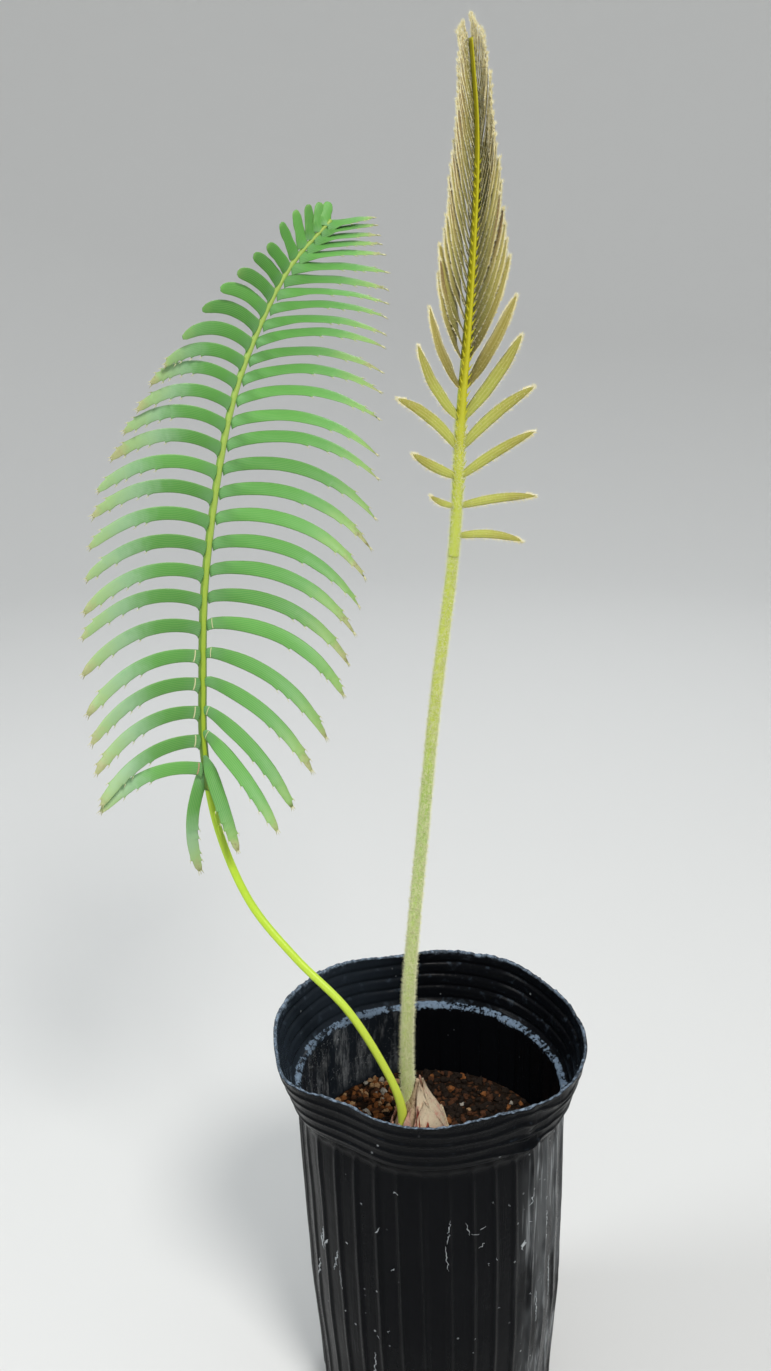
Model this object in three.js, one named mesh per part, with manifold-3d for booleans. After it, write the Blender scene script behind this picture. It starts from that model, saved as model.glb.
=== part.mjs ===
// A young dioon stevensonii, a cycad with one full-grown frond and one frond still
// opening, growing in a tall black seedling pot.
// Units are millimetres and +Z is up. The origin is the centre of the pot's underside.
// The side of the plant that faces -Y is the one seen from the front.

import * as THREE from 'three';
import Module from 'manifold-3d';

const wasm = await Module();
wasm.setup();

// Pot, a soft moulded sleeve with a bell-shaped mouth
const POT_HEIGHT = 168;
const POT_RIM_RADIUS = 60;
const POT_WALL = 1.3;
const POT_FLOOR = 2.2;
const POT_LEAN = -5;
const POT_RIM_TILT = 1.6;
const POT_SEGMENTS = 72;
const POT_CORE_RADIUS = 20;
const POT_FOOT_ROUND = 1.5;
const PLEAT_DEPTH = 0.9;
const PLEAT_BOTTOM = 7;
const PLEAT_TOP = 141;
const BELL_HEIGHT = 22;
const BELL_FOOT_RADIUS = 54;
const BELL_RINGS = 4;
const BELL_RING_DEPTH = 0.8;
const BELL_PLAIN_BAND = 2;
const BELL_STEP = 0.8;
const RIM_BEAD = 0.5;
const BODY_TOP = POT_HEIGHT - BELL_HEIGHT;
const BODY_RADIUS_BY_HEIGHT = [[0, 46.8], [33, 48.4], [59, 50.1], [93, 51], [BODY_TOP, 51.5]];
const BODY_STATIONS = 3;
const INNER_STATIONS = [POT_FLOOR, 59, 114];
const DRAIN_HOLES = 8;
const DRAIN_HOLE_RADIUS = 3.5;
const DRAIN_CIRCLE_RADIUS = 36;
const DRAIN_OVERSHOOT = 1;

// The handled rim bulges out or is pushed in at these places round the mouth
const RIM_WAVES = [
  { at: -148, out: 3.5, spread: 13 },
  { at: -124, out: -3.8, spread: 14 },
  { at: -68, out: -3.8, spread: 20 },
  { at: 57, out: 3, spread: 18 },
  { at: 106, out: -4.5, spread: 17 },
];

// Growing mix in the pot
const SOIL_LEVEL = 115;
const SOIL_LUMP = 1.1;
const SOIL_LUMPS_ROUND = 3;
const SOIL_LUMP_TURN = 9;
const SOIL_RING_SHARES = [0.85, 0.6, 0.35];
const SOIL_EDGE_INSET = 2;

// Stem, a short bulb whose crown is wrapped in dry scale leaves
const STEM_AXIS = new THREE.Vector2(-8.5, -3);
const STEM_FOOT_RADIUS = 11.5;
const STEM_FOOT_DEPTH = 10;
const STEM_PROFILE = [[0, 11.5], [4, 12], [10, 10], [17, 7.5], [23, 4.5], [26, 2]];
const STEM_SEGMENTS = 20;
const SCALE_COUNT = 11;
const SCALE_LENGTH = 17;
const SCALE_WIDTH = 9;
const SCALE_TAPER = 0.7;
const SCALE_TIP_WIDTH = 0.02;
const SCALE_THICKNESS = 1.3;
const SCALE_FIRST_HEIGHT = 3;
const SCALE_STEP = 1.5;
const SCALE_ROOT_DEPTH = 1.2;
const SCALE_BULGE = 2.2;
const SCALE_CLOSING = 0.42;
const GOLDEN_ANGLE = 137.5;

// Clearance kept between solids that touch on the real plant
const SEAT_GAP = 0.3;

// Full-grown frond: the line its stalk and midrib follow, from the crown to the tip
const MATURE_LINE = [
  [-14.5, -7.5, 126], [-16.5, -7.5, 141], [-23, -5.5, 156], [-37, -1, 178], [-57, 7, 196],
  [-74, 15, 215], [-86, 21, 244], [-90.3, 24, 274], [-89.8, 25, 301], [-87, 27.5, 343],
  [-76.6, 35, 400], [-67, 41, 426], [-55, 47, 448], [-41, 51.5, 463],
];
const MATURE_STALK_RADIUS = 1.55;
const MATURE_STALK_FOOT_RADIUS = 2.1;
const MATURE_RIB_TIP_RADIUS = 0.7;
const MATURE_BLADE_START = 0.421;
const MATURE_PAIRS = 28;
const MATURE_FIRST = { left: 0.66, right: 0.87 };
const MATURE_LEAFLET_WIDTH = 5.8;
const MATURE_FACE_HEADING = 20;

// Leaflet key values from the foot of the blade to its tip. Toward is the angle at which
// a leaflet comes forward, rise its slope where it leaves the rib, and droop how far it
// then bends down. Lean is how far its upper edge leans out of the rib's line, and aim is
// where that edge leans to: 0 is outward and 90 is away from the front.
const MATURE_KEYS = {
  at: [0.03, 0.1, 0.3, 0.55, 0.75, 0.9, 1],
  left: {
    length: [48, 51, 61, 62, 46, 18, 8],
    toward: [45, 50, 56, 58, 63, 70, 60],
    rise: [25, 16, 23, 26, 27, 37, 110],
    droop: [60, 64, 55, 48, 48, 24, -15],
    lean: [30, 28, 25, 22, 18, 15, 15],
    aim: [90, 90, 90, 90, 90, 90, 90],
  },
  right: {
    length: [35, 48, 61, 63, 49, 35, 16],
    toward: [50, 40, 15, 18, 14, 8, 0],
    rise: [-70, -30, 8, 17, 20, 5, 14],
    droop: [-10, 25, 71, 66, 46, 19, 10],
    lean: [80, 50, 25, 38, 52, 58, 60],
    aim: [5, 20, 90, 90, 90, 90, 90],
  },
};

// The lowest leaflet on the left is turned back and hangs beside the stalk
const HANGING_LEAFLET = { at: 0.03, length: 42, toward: 10, rise: -68, droop: 40, lean: 80, aim: 0 };

// Young frond: stalk and lower leaflets are out, the rest still stands up as a spear
const YOUNG_LINE = [
  [-11, -3, 126], [-13.5, -2.6, 149], [-13.2, -0.5, 184], [-8.2, 4, 252], [-4.1, 7, 301],
  [1.8, 10.5, 357], [3.4, 13.5, 402], [6, 16.5, 448], [6.9, 19.5, 489], [4.5, 21, 517],
];
const YOUNG_STALK_RADIUS = 2;
const YOUNG_STALK_FOOT_RADIUS = 2.5;
const YOUNG_RIB_TIP_RADIUS = 0.7;
const YOUNG_BLADE_START = 0.585;
const YOUNG_PAIRS = 23;
const YOUNG_FIRST = { left: 1.4, right: 0.4 };
const YOUNG_LEAFLET_WIDTH = 4.8;
const YOUNG_FACE_HEADING = 12;
const YOUNG_KEYS = {
  at: [0.02, 0.09, 0.15, 0.215, 0.28, 0.39, 0.5, 0.7, 0.88, 1],
  left: {
    length: [8, 10, 17.5, 28, 29, 31, 31, 29, 23, 8],
    toward: [20, 20, 20, 21, 25, 31, 38, 42, 36, 25],
    rise: [11, 11, 22, 52, 45, 56, 60, 65, 68, 76],
    droop: [-30, -30, -15, 30, -35, -31, -26, -18, -7, -4],
    lean: [15, 12, 0, -20, -50, -80, -90, -90, -90, -90],
    aim: [90, 90, -40, -40, -40, -45, -62, -78, -82, -82],
  },
  right: {
    length: [22, 26, 29, 31.5, 34, 37.5, 38, 33, 22, 6],
    toward: [10, 11, 12, 13, 18, 30, 40, 50, 52, 45],
    rise: [12, 16, 37, 50, 49, 55, 60, 70, 76, 84],
    droop: [33, 17, 12, 20, -15, -27, -26, -20, -14, -4],
    lean: [15, 12, 0, -20, -50, -80, -90, -90, -90, -90],
    aim: [90, 90, -40, -40, -40, -45, -62, -78, -82, -82],
  },
};

// Shared leaflet build
const LEAFLET_THICKNESS = 0.8;
const LEAFLET_STEPS = 5;
const LEAFLET_OUTLINE = [[0, 0.8], [0.15, 0.95], [0.4, 1], [0.7, 0.8], [0.9, 0.5], [1, 0.25]];
const LEAFLET_ROOT_DEPTH = 1;
const LEAFLET_SEAT = 0.5;
const SPACING_CROWDING = 0.5;
const CROWDING_POWER = 1.25;
const DROOP_POWER = 1.2;
const TIP_NARROWING = 0.35;
const BLADE_BARE_FOOT = 0.01;
const STALK_FOOT_SHARE = 0.15;
const STALK_SIDES = 8;
const STALK_STEPS = 22;
const RIB_STEPS = 24;
const SMALLEST_DETAIL = 0.08;

const UP = new THREE.Vector3(0, 0, 1);
const degrees = THREE.MathUtils.degToRad;

// Value at x of a curve through [x, value] pairs, straight between them
function between(pairs, x) {
  const last = pairs.length - 1;
  if (x <= pairs[0][0]) return pairs[0][1];
  if (x >= pairs[last][0]) return pairs[last][1];
  const k = pairs.findIndex((pair) => pair[0] > x) - 1;
  const [x0, y0] = pairs[k];
  const [x1, y1] = pairs[k + 1];
  return y0 + ((y1 - y0) * (x - x0)) / (x1 - x0);
}

// Joins rings of points, each with the same count, into one closed solid. Both ends are
// closed by a fan round the ring's middle.
function skin(rings) {
  const sides = rings[0].length;
  const points = rings.flat();
  const triangles = [];
  for (let k = 0; k < rings.length - 1; k += 1) {
    for (let j = 0; j < sides; j += 1) {
      const a = k * sides + j;
      const b = k * sides + ((j + 1) % sides);
      triangles.push(a, b, b + sides, a, b + sides, a + sides);
    }
  }
  const ends = [[rings[0], 0, false], [rings.at(-1), (rings.length - 1) * sides, true]];
  for (const [ring, offset, atEnd] of ends) {
    const middle = new THREE.Vector3();
    ring.forEach((point) => middle.addScaledVector(point, 1 / sides));
    const hub = points.push(middle) - 1;
    for (let j = 0; j < sides; j += 1) {
      const a = offset + j;
      const b = offset + ((j + 1) % sides);
      if (atEnd) triangles.push(hub, a, b);
      else triangles.push(hub, b, a);
    }
  }
  return new wasm.Manifold(new wasm.Mesh({
    numProp: 3,
    vertProperties: new Float32Array(points.flatMap((point) => point.toArray())),
    triVerts: new Uint32Array(triangles),
  }));
}

// The largest of a solid's separate shells: sealed hollows and loose scraps are dropped
function largestBody(solid) {
  return solid.decompose().reduce((best, piece) => (piece.volume() > best.volume() ? piece : best));
}

function toGeometry(solid) {
  const mesh = solid.getMesh();
  const geometry = new THREE.BufferGeometry();
  geometry.setAttribute('position', new THREE.BufferAttribute(mesh.vertProperties.slice(), 3));
  geometry.setIndex(new THREE.BufferAttribute(mesh.triVerts.slice(), 1));
  geometry.computeVertexNormals();
  return geometry;
}

function makePiece(name, solid, material) {
  const mesh = new THREE.Mesh(toGeometry(solid), new THREE.MeshStandardMaterial(material));
  mesh.name = name;
  return mesh;
}

// How far the handled rim stands out of round at an angle
function rimWave(angle) {
  return RIM_WAVES.reduce((sum, wave) => {
    const away = THREE.MathUtils.euclideanModulo(THREE.MathUtils.radToDeg(angle) - wave.at + 180, 360) - 180;
    return sum + wave.out * Math.exp(-((away / wave.spread) ** 2));
  }, 0);
}

// A point of the pot's own round shape, moved by its lean, its tilted mouth and its dents
function potPoint(angle, radius, height) {
  const share = height / POT_HEIGHT;
  const round = radius + rimWave(angle) * share ** 6 * Math.min(1, radius / BELL_FOOT_RADIUS);
  const tilt = -POT_RIM_TILT * Math.cos(angle) * (radius / POT_RIM_RADIUS) * share ** 3;
  return new THREE.Vector3(
    round * Math.cos(angle) + POT_LEAN * share,
    round * Math.sin(angle),
    height + tilt,
  );
}

function potRing(radius, height, pleat = 0) {
  return Array.from({ length: POT_SEGMENTS }, (_, j) => {
    const ridge = j % 2 === 1 ? pleat : 0;
    return potPoint((j / POT_SEGMENTS) * 2 * Math.PI, radius + ridge, height);
  });
}

// Pot outline, from the underside up the outside and down the inside
function makePot() {
  const bodyRadius = (height) => between(BODY_RADIUS_BY_HEIGHT, height);
  const bellSlope = [[BODY_TOP, BELL_FOOT_RADIUS], [POT_HEIGHT, POT_RIM_RADIUS]];
  const bellRadius = (height) => between(bellSlope, height);
  const rings = [
    potRing(POT_CORE_RADIUS, 0),
    potRing(bodyRadius(0) - POT_FOOT_ROUND, 0),
    potRing(bodyRadius(0), POT_FOOT_ROUND),
  ];
  for (let k = 0; k < BODY_STATIONS; k += 1) {
    const height = PLEAT_BOTTOM + ((PLEAT_TOP - PLEAT_BOTTOM) * k) / (BODY_STATIONS - 1);
    rings.push(potRing(bodyRadius(height), height, PLEAT_DEPTH));
  }
  rings.push(potRing(bodyRadius(BODY_TOP), BODY_TOP - BELL_STEP));
  rings.push(potRing(BELL_FOOT_RADIUS, BODY_TOP));
  const pitch = (BELL_HEIGHT - BELL_PLAIN_BAND) / BELL_RINGS;
  for (let k = 0; k < BELL_RINGS; k += 1) {
    const crest = BODY_TOP + pitch * (k + 0.5);
    const valley = crest + pitch / 2;
    rings.push(potRing(bellRadius(crest) + BELL_RING_DEPTH, crest));
    rings.push(potRing(bellRadius(valley), valley));
  }
  rings.push(potRing(POT_RIM_RADIUS + RIM_BEAD, POT_HEIGHT - BELL_STEP));
  rings.push(potRing(POT_RIM_RADIUS, POT_HEIGHT));
  rings.push(potRing(POT_RIM_RADIUS - POT_WALL, POT_HEIGHT));
  rings.push(potRing(BELL_FOOT_RADIUS - POT_WALL, BODY_TOP + BELL_STEP));
  for (const height of [BODY_TOP, ...INNER_STATIONS.toReversed()]) {
    rings.push(potRing(bodyRadius(height) - POT_WALL, height));
  }
  rings.push(potRing(POT_CORE_RADIUS, POT_FLOOR));
  const drains = Array.from({ length: DRAIN_HOLES }, (_, k) => {
    const angle = ((k + 0.5) / DRAIN_HOLES) * 2 * Math.PI;
    const centre = new THREE.Vector2(Math.cos(angle), Math.sin(angle)).multiplyScalar(DRAIN_CIRCLE_RADIUS);
    return skin([-DRAIN_OVERSHOOT, POT_FLOOR + DRAIN_OVERSHOOT].map((height) => circle(centre, DRAIN_HOLE_RADIUS, height, STALK_SIDES)));
  });
  return largestBody(drains.reduce((solid, drain) => solid.subtract(drain), skin(rings)));
}

// A level ring of points round a centre
function circle(centre, radius, height, sides) {
  return Array.from({ length: sides }, (_, j) => {
    const angle = (j / sides) * 2 * Math.PI;
    const x = centre.x + radius * Math.cos(angle);
    const y = centre.y + radius * Math.sin(angle);
    return new THREE.Vector3(x, y, height);
  });
}

// The mix fills the sleeve and has a well in which the stem stands
function makeSoil() {
  const inside = (height) => between(BODY_RADIUS_BY_HEIGHT, height) - POT_WALL - SEAT_GAP;
  const rings = [potRing(POT_CORE_RADIUS, POT_FLOOR + SEAT_GAP)];
  for (const height of [POT_FLOOR + SEAT_GAP, ...INNER_STATIONS.slice(1)]) {
    rings.push(potRing(inside(height), height));
  }
  const wellRadius = STEM_FOOT_RADIUS + SEAT_GAP;
  const edge = potRing(inside(SOIL_LEVEL) - SOIL_EDGE_INSET, SOIL_LEVEL);
  const well = circle(STEM_AXIS, wellRadius, SOIL_LEVEL, POT_SEGMENTS);
  for (const share of SOIL_RING_SHARES) {
    rings.push(well.map((point, j) => {
      const lump = SOIL_LUMP * Math.sin((SOIL_LUMPS_ROUND * j + SOIL_LUMP_TURN) * share);
      return point.clone().lerp(edge[j], share).addScaledVector(UP, lump);
    }));
  }
  rings.push(well);
  rings.push(circle(STEM_AXIS, wellRadius, SOIL_LEVEL - STEM_FOOT_DEPTH - SEAT_GAP, POT_SEGMENTS));
  return skin(rings);
}

// A flat blade of lens-shaped section along a line of points. Its width lies as near as
// it can to the edge direction.
function blade(line, edgeDirection, widthAt, thickness) {
  const rings = line.map((point, k) => {
    const ahead = line[Math.min(k + 1, line.length - 1)].clone().sub(line[Math.max(k - 1, 0)]).normalize();
    const across = edgeDirection.clone().addScaledVector(ahead, -edgeDirection.dot(ahead)).normalize();
    const face = ahead.clone().cross(across);
    const half = widthAt(k / (line.length - 1)) / 2;
    return [
      point.clone().addScaledVector(across, half),
      point.clone().addScaledVector(face, thickness / 2),
      point.clone().addScaledVector(across, -half),
      point.clone().addScaledVector(face, -thickness / 2),
    ];
  });
  return skin(rings);
}

// The stem stands in the well, and dry three-cornered scale leaves wrap it in a spiral
function makeStem() {
  const rings = [circle(STEM_AXIS, STEM_FOOT_RADIUS, SOIL_LEVEL - STEM_FOOT_DEPTH, STEM_SEGMENTS)];
  for (const [height, radius] of STEM_PROFILE) {
    rings.push(circle(STEM_AXIS, radius, SOIL_LEVEL + height, STEM_SEGMENTS));
  }
  const scales = Array.from({ length: SCALE_COUNT }, (_, k) => {
    const angle = degrees(GOLDEN_ANGLE * k);
    const foot = SCALE_FIRST_HEIGHT + k * SCALE_STEP;
    const out = new THREE.Vector3(Math.cos(angle), Math.sin(angle), 0);
    const axis = new THREE.Vector3(STEM_AXIS.x, STEM_AXIS.y, SOIL_LEVEL);
    const radius = between(STEM_PROFILE, foot);
    const line = [0, 0.25, 0.5, 0.75, 1].map((share) => axis.clone()
      .addScaledVector(out, radius * (1 - share * SCALE_CLOSING) - SCALE_ROOT_DEPTH)
      .addScaledVector(out, SCALE_BULGE * Math.sin(share * SCALE_BULGE))
      .addScaledVector(UP, foot + share * SCALE_LENGTH));
    const side = new THREE.Vector3(-out.y, out.x, 0);
    return blade(line, side, (share) => SCALE_WIDTH * (1 + SCALE_TIP_WIDTH - share) ** SCALE_TAPER, SCALE_THICKNESS);
  });
  return scales.reduce((solid, scale) => solid.add(scale), skin(rings));
}

// A round limb along a stretch of a curve, from one share of its length to another
function limb(curve, from, to, radiusAt, steps) {
  const rings = Array.from({ length: steps + 1 }, (_, k) => {
    const share = k / steps;
    const along = from + (to - from) * share;
    const centre = curve.getPointAt(along);
    const ahead = curve.getTangentAt(along);
    const side = new THREE.Vector3(1, 0, 0).addScaledVector(ahead, -ahead.x).normalize();
    const front = ahead.clone().cross(side);
    return Array.from({ length: STALK_SIDES }, (__, j) => {
      const angle = (j / STALK_SIDES) * 2 * Math.PI;
      return centre.clone()
        .addScaledVector(side, radiusAt(share) * Math.cos(angle))
        .addScaledVector(front, radiusAt(share) * Math.sin(angle));
    });
  });
  return skin(rings);
}

// One leaflet, from inside the rib out along its arc
function leaflet(curve, along, side, shape, ribRadius, faceHeading) {
  const heading = degrees(shape.toward);
  const outward = new THREE.Vector3(side * Math.cos(heading), -Math.sin(heading), 0);
  const slopeAt = (share) => degrees(shape.rise - shape.droop * share ** DROOP_POWER);
  const rib = curve.getTangentAt(along);
  const front = new THREE.Vector3(Math.sin(degrees(faceHeading)), -Math.cos(degrees(faceHeading)), 0);
  const right = rib.clone().cross(front).normalize();
  const edge = rib.clone().multiplyScalar(Math.cos(degrees(shape.lean)))
    .addScaledVector(right, side * Math.sin(degrees(shape.lean)) * Math.cos(degrees(shape.aim)))
    .addScaledVector(front, -Math.sin(degrees(shape.lean)) * Math.sin(degrees(shape.aim)));
  const step = (slope, distance) => outward.clone().multiplyScalar(Math.cos(slope) * distance)
    .addScaledVector(UP, Math.sin(slope) * distance);
  const start = curve.getPointAt(along)
    .addScaledVector(front, ribRadius * LEAFLET_SEAT)
    .add(step(slopeAt(0), ribRadius - LEAFLET_ROOT_DEPTH));
  const line = [start];
  for (let k = 0; k < LEAFLET_STEPS; k += 1) {
    line.push(line[k].clone().add(step(slopeAt((k + 0.5) / LEAFLET_STEPS), shape.length / LEAFLET_STEPS)));
  }
  return blade(line, edge, (share) => shape.width * between(LEAFLET_OUTLINE, share), LEAFLET_THICKNESS);
}

// Midrib and both rows of leaflets, fused. Leaflets crowd together toward the tip.
function makeBlade(curve, start, pairs, first, keys, rib, width, faceHeading, extra = []) {
  const value = (list, at) => between(keys.at.map((x, k) => [x, list[k]]), at);
  const leaflets = extra.map((shape) => [-1, { ...shape, width }]);
  for (const [side, row, offset] of [[-1, keys.left, first.left], [1, keys.right, first.right]]) {
    for (let k = 0; k + offset <= pairs; k += 1) {
      const share = (k + offset) / pairs;
      const at = share * (1 + SPACING_CROWDING * (1 - share ** CROWDING_POWER));
      leaflets.push([side, {
        at,
        length: value(row.length, at),
        toward: value(row.toward, at),
        rise: value(row.rise, at),
        droop: value(row.droop, at),
        lean: value(row.lean, at),
        aim: value(row.aim, at),
        width: width * (1 - TIP_NARROWING * at ** 3),
      }]);
    }
  }
  const gap = SEAT_GAP / curve.getLength();
  const ribAt = (share) => rib.foot + (rib.tip - rib.foot) * share;
  const bar = limb(curve, start + gap, 1, ribAt, RIB_STEPS);
  const fused = leaflets.reduce((solid, [side, shape]) => {
    const along = start + (1 - start) * (BLADE_BARE_FOOT + (1 - 2 * BLADE_BARE_FOOT) * shape.at);
    return solid.add(leaflet(curve, along, side, shape, ribAt(shape.at), faceHeading));
  }, bar);
  return largestBody(fused.simplify(SMALLEST_DETAIL));
}

const curveThrough = (points) => new THREE.CatmullRomCurve3(
  points.map((point) => new THREE.Vector3(...point)),
  false,
  'centripetal',
);
const matureCurve = curveThrough(MATURE_LINE);
const youngCurve = curveThrough(YOUNG_LINE);

// A stalk is stout at its foot, which is let into the crown, and even above
const stalk = (curve, end, foot, radius, extra = 0) => limb(
  curve,
  0,
  end,
  (share) => between([[0, foot], [STALK_FOOT_SHARE, radius]], share) + extra,
  STALK_STEPS,
);
const matureStalk = stalk(matureCurve, MATURE_BLADE_START, MATURE_STALK_FOOT_RADIUS, MATURE_STALK_RADIUS);
const youngStalk = stalk(youngCurve, YOUNG_BLADE_START, YOUNG_STALK_FOOT_RADIUS, YOUNG_STALK_RADIUS);

// Socket in the crown for a stalk: the same limb, larger by the seat gap all round
function socket(curve, end, foot, radius) {
  const hollow = stalk(curve, end, foot, radius, SEAT_GAP);
  return hollow.add(hollow.translate([0, 0, -SEAT_GAP]));
}
const stem = largestBody(makeStem()
  .subtract(socket(matureCurve, MATURE_BLADE_START, MATURE_STALK_FOOT_RADIUS, MATURE_STALK_RADIUS))
  .subtract(socket(youngCurve, YOUNG_BLADE_START, YOUNG_STALK_FOOT_RADIUS, YOUNG_STALK_RADIUS)));

const matureBlade = makeBlade(
  matureCurve,
  MATURE_BLADE_START,
  MATURE_PAIRS,
  MATURE_FIRST,
  MATURE_KEYS,
  { foot: MATURE_STALK_RADIUS, tip: MATURE_RIB_TIP_RADIUS },
  MATURE_LEAFLET_WIDTH,
  MATURE_FACE_HEADING,
  [HANGING_LEAFLET],
);
const youngBlade = makeBlade(
  youngCurve,
  YOUNG_BLADE_START,
  YOUNG_PAIRS,
  YOUNG_FIRST,
  YOUNG_KEYS,
  { foot: YOUNG_STALK_RADIUS, tip: YOUNG_RIB_TIP_RADIUS },
  YOUNG_LEAFLET_WIDTH,
  YOUNG_FACE_HEADING,
);

const group = new THREE.Group();
group.add(
  makePiece('pot', makePot(), { color: '#17181b', roughness: 0.35, metalness: 0 }),
  makePiece('soil', makeSoil(), { color: '#7a4a2a', roughness: 0.95, metalness: 0 }),
  makePiece('stem_crown', stem, { color: '#a8805f', roughness: 0.9, metalness: 0 }),
  makePiece('mature_frond_stalk', matureStalk, { color: '#b9cf45', roughness: 0.5, metalness: 0 }),
  makePiece('mature_frond_blade', matureBlade, { color: '#5f9d4f', roughness: 0.55, metalness: 0 }),
  makePiece('young_frond_stalk', youngStalk, { color: '#b7c570', roughness: 0.8, metalness: 0 }),
  makePiece('young_frond_blade', youngBlade, { color: '#a7aa70', roughness: 0.8, metalness: 0 }),
);

export default group;
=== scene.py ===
import math

import bmesh
import bpy
import numpy as np
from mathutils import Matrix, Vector, noise
from mathutils.bvhtree import BVHTree
from mathutils.geometry import delaunay_2d_cdt


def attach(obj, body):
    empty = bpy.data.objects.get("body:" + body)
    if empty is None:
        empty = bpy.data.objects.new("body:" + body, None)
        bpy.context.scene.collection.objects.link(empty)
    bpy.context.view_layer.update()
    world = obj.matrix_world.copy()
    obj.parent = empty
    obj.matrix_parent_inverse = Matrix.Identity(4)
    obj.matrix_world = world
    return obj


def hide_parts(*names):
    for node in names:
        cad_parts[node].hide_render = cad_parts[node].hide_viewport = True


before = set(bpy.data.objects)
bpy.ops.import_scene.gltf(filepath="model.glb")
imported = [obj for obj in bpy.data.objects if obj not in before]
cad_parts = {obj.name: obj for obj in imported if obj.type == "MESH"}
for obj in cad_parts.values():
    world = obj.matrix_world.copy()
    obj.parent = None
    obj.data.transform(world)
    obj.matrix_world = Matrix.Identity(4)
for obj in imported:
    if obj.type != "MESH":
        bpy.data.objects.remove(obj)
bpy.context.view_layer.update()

# Pot
# A tall seedling pot blown from soft black polythene film. Its body has thirty-six narrow pleats
# and its mouth is a ringed bell, which handling has pushed out of round and crinkled.

MM = 0.001
POT_HEIGHT = 168
POT_LEAN = -5
POT_RIM_RADIUS = 60
POT_RIM_TILT = 1.6
POT_WALL = 1.1
POT_FLOOR = 2.2
POT_FOOT_ROUND = 1.5
POT_SIDES = 480
PLEATS = 36
FIRST_PLEAT = 5
PLEAT_DEPTH = 0.9
PLEAT_WIDTH = 1.0
PLEAT_BOTTOM = 7
PLEAT_TOP = 141
BELL_FOOT = 146
BELL_FOOT_RADIUS = 54
BELL_RINGS = 4
BELL_RING_PITCH = 5
BELL_RING_DEPTH = 0.6
BELL_RING_WIDTH = 0.75
BELL_STEP = 0.8
BODY_HEIGHTS = [0, 33, 59, 93, BELL_FOOT]
BODY_RADII = [46.8, 48.4, 50.1, 51, 51.5]
BODY_ROWS = 26
BELL_ROWS = 56
INNER_ROWS = 14
# The sill inside the bell's foot as (outward, upward), and how much dust and painted sky reflection it and
# the rows below carry
SILL_PROFILE = [(2.2, 0.75), (1.6, 0.45), (1.1, 0.35), (0.6, 0.1), (0.15, -0.5)]
SILL_DUST_AND_SHEEN = 0.78
SILL_DUST_AND_SHEEN_ROWS = (1.0, 1.8, 2.8)
OUTSIDE_ROWS = BODY_ROWS + BELL_ROWS + 3
# Heights between which rows of points follow the film, and its edge as (inward, upward) from
# the top of the rim
BODY_OUTSIDE = (POT_FOOT_ROUND, BELL_FOOT - BELL_STEP)
BELL_OUTSIDE = (BELL_FOOT, POT_HEIGHT - 0.6)
RIM_EDGE = [(-0.1, -0.1), (POT_WALL / 2, 0.1), (POT_WALL, -0.2)]
BELL_INSIDE = (POT_HEIGHT - 0.8, BELL_FOOT + BELL_STEP + 0.4)
BODY_INSIDE = (BELL_FOOT - SILL_DUST_AND_SHEEN_ROWS[-1] - 3, POT_FLOOR)
# Where the rim is pushed out or in: angle, distance and spread
RIM_WAVES = [(-148, 3.5, 13), (-124, -3.8, 14), (-68, -3.8, 20), (57, 3, 18), (106, -4.5, 17)]
CRINKLE_ANGLE = -42
CRINKLE_SPREAD = 24
CRINKLE_DEPTH = 1.0
RING_WANDER = 0.5
CRINKLED_WANDER = 3.5
BELL_SAG_ANGLE = -52
BELL_SAG_SPREAD = 7
BELL_SAG = 2.2
BELL_SAG_RISE = 2
BELL_SAG_REACH = 2.5
RAGGED_EDGE = 0.55
RAGGED_REACH = 3
FILM_DENT = 0.45
FOOT_STIFFNESS = 20
DRAIN_HOLES = 8
DRAIN_HOLE_RADIUS = 3.5
DRAIN_HOLE_SIDES = 20
DRAIN_CIRCLE_RADIUS = 36
# Where patches on the film fade in, in millimetres: the height of the lime crust inside, and
# how far across and back the crust and the streaks lie
CRUST_LOW = (112, 120)
CRUST_LEFT = (-35, -5)
CRUST_BACK = (-10, 15)
# The streaks down the right side are lime with a painted reflection of the lights
STREAKS_RIGHT = (25, 39)
STREAKS_BACK = (-20, 10)
FILM_BLACK = (0.003, 0.0035, 0.0045, 1)
# Bluish grey of dust and of the painted sky reflection on the sill, lip and ring crests
DUST_AND_SKY_SHEEN_BLUE = (0.24, 0.33, 0.45, 1)
# Whitish grey of lime, of scuffed film, and of the painted reflection in the right side's streaks and on the
# lip
WHITISH_GREY = (0.50, 0.53, 0.55, 1)


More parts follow.
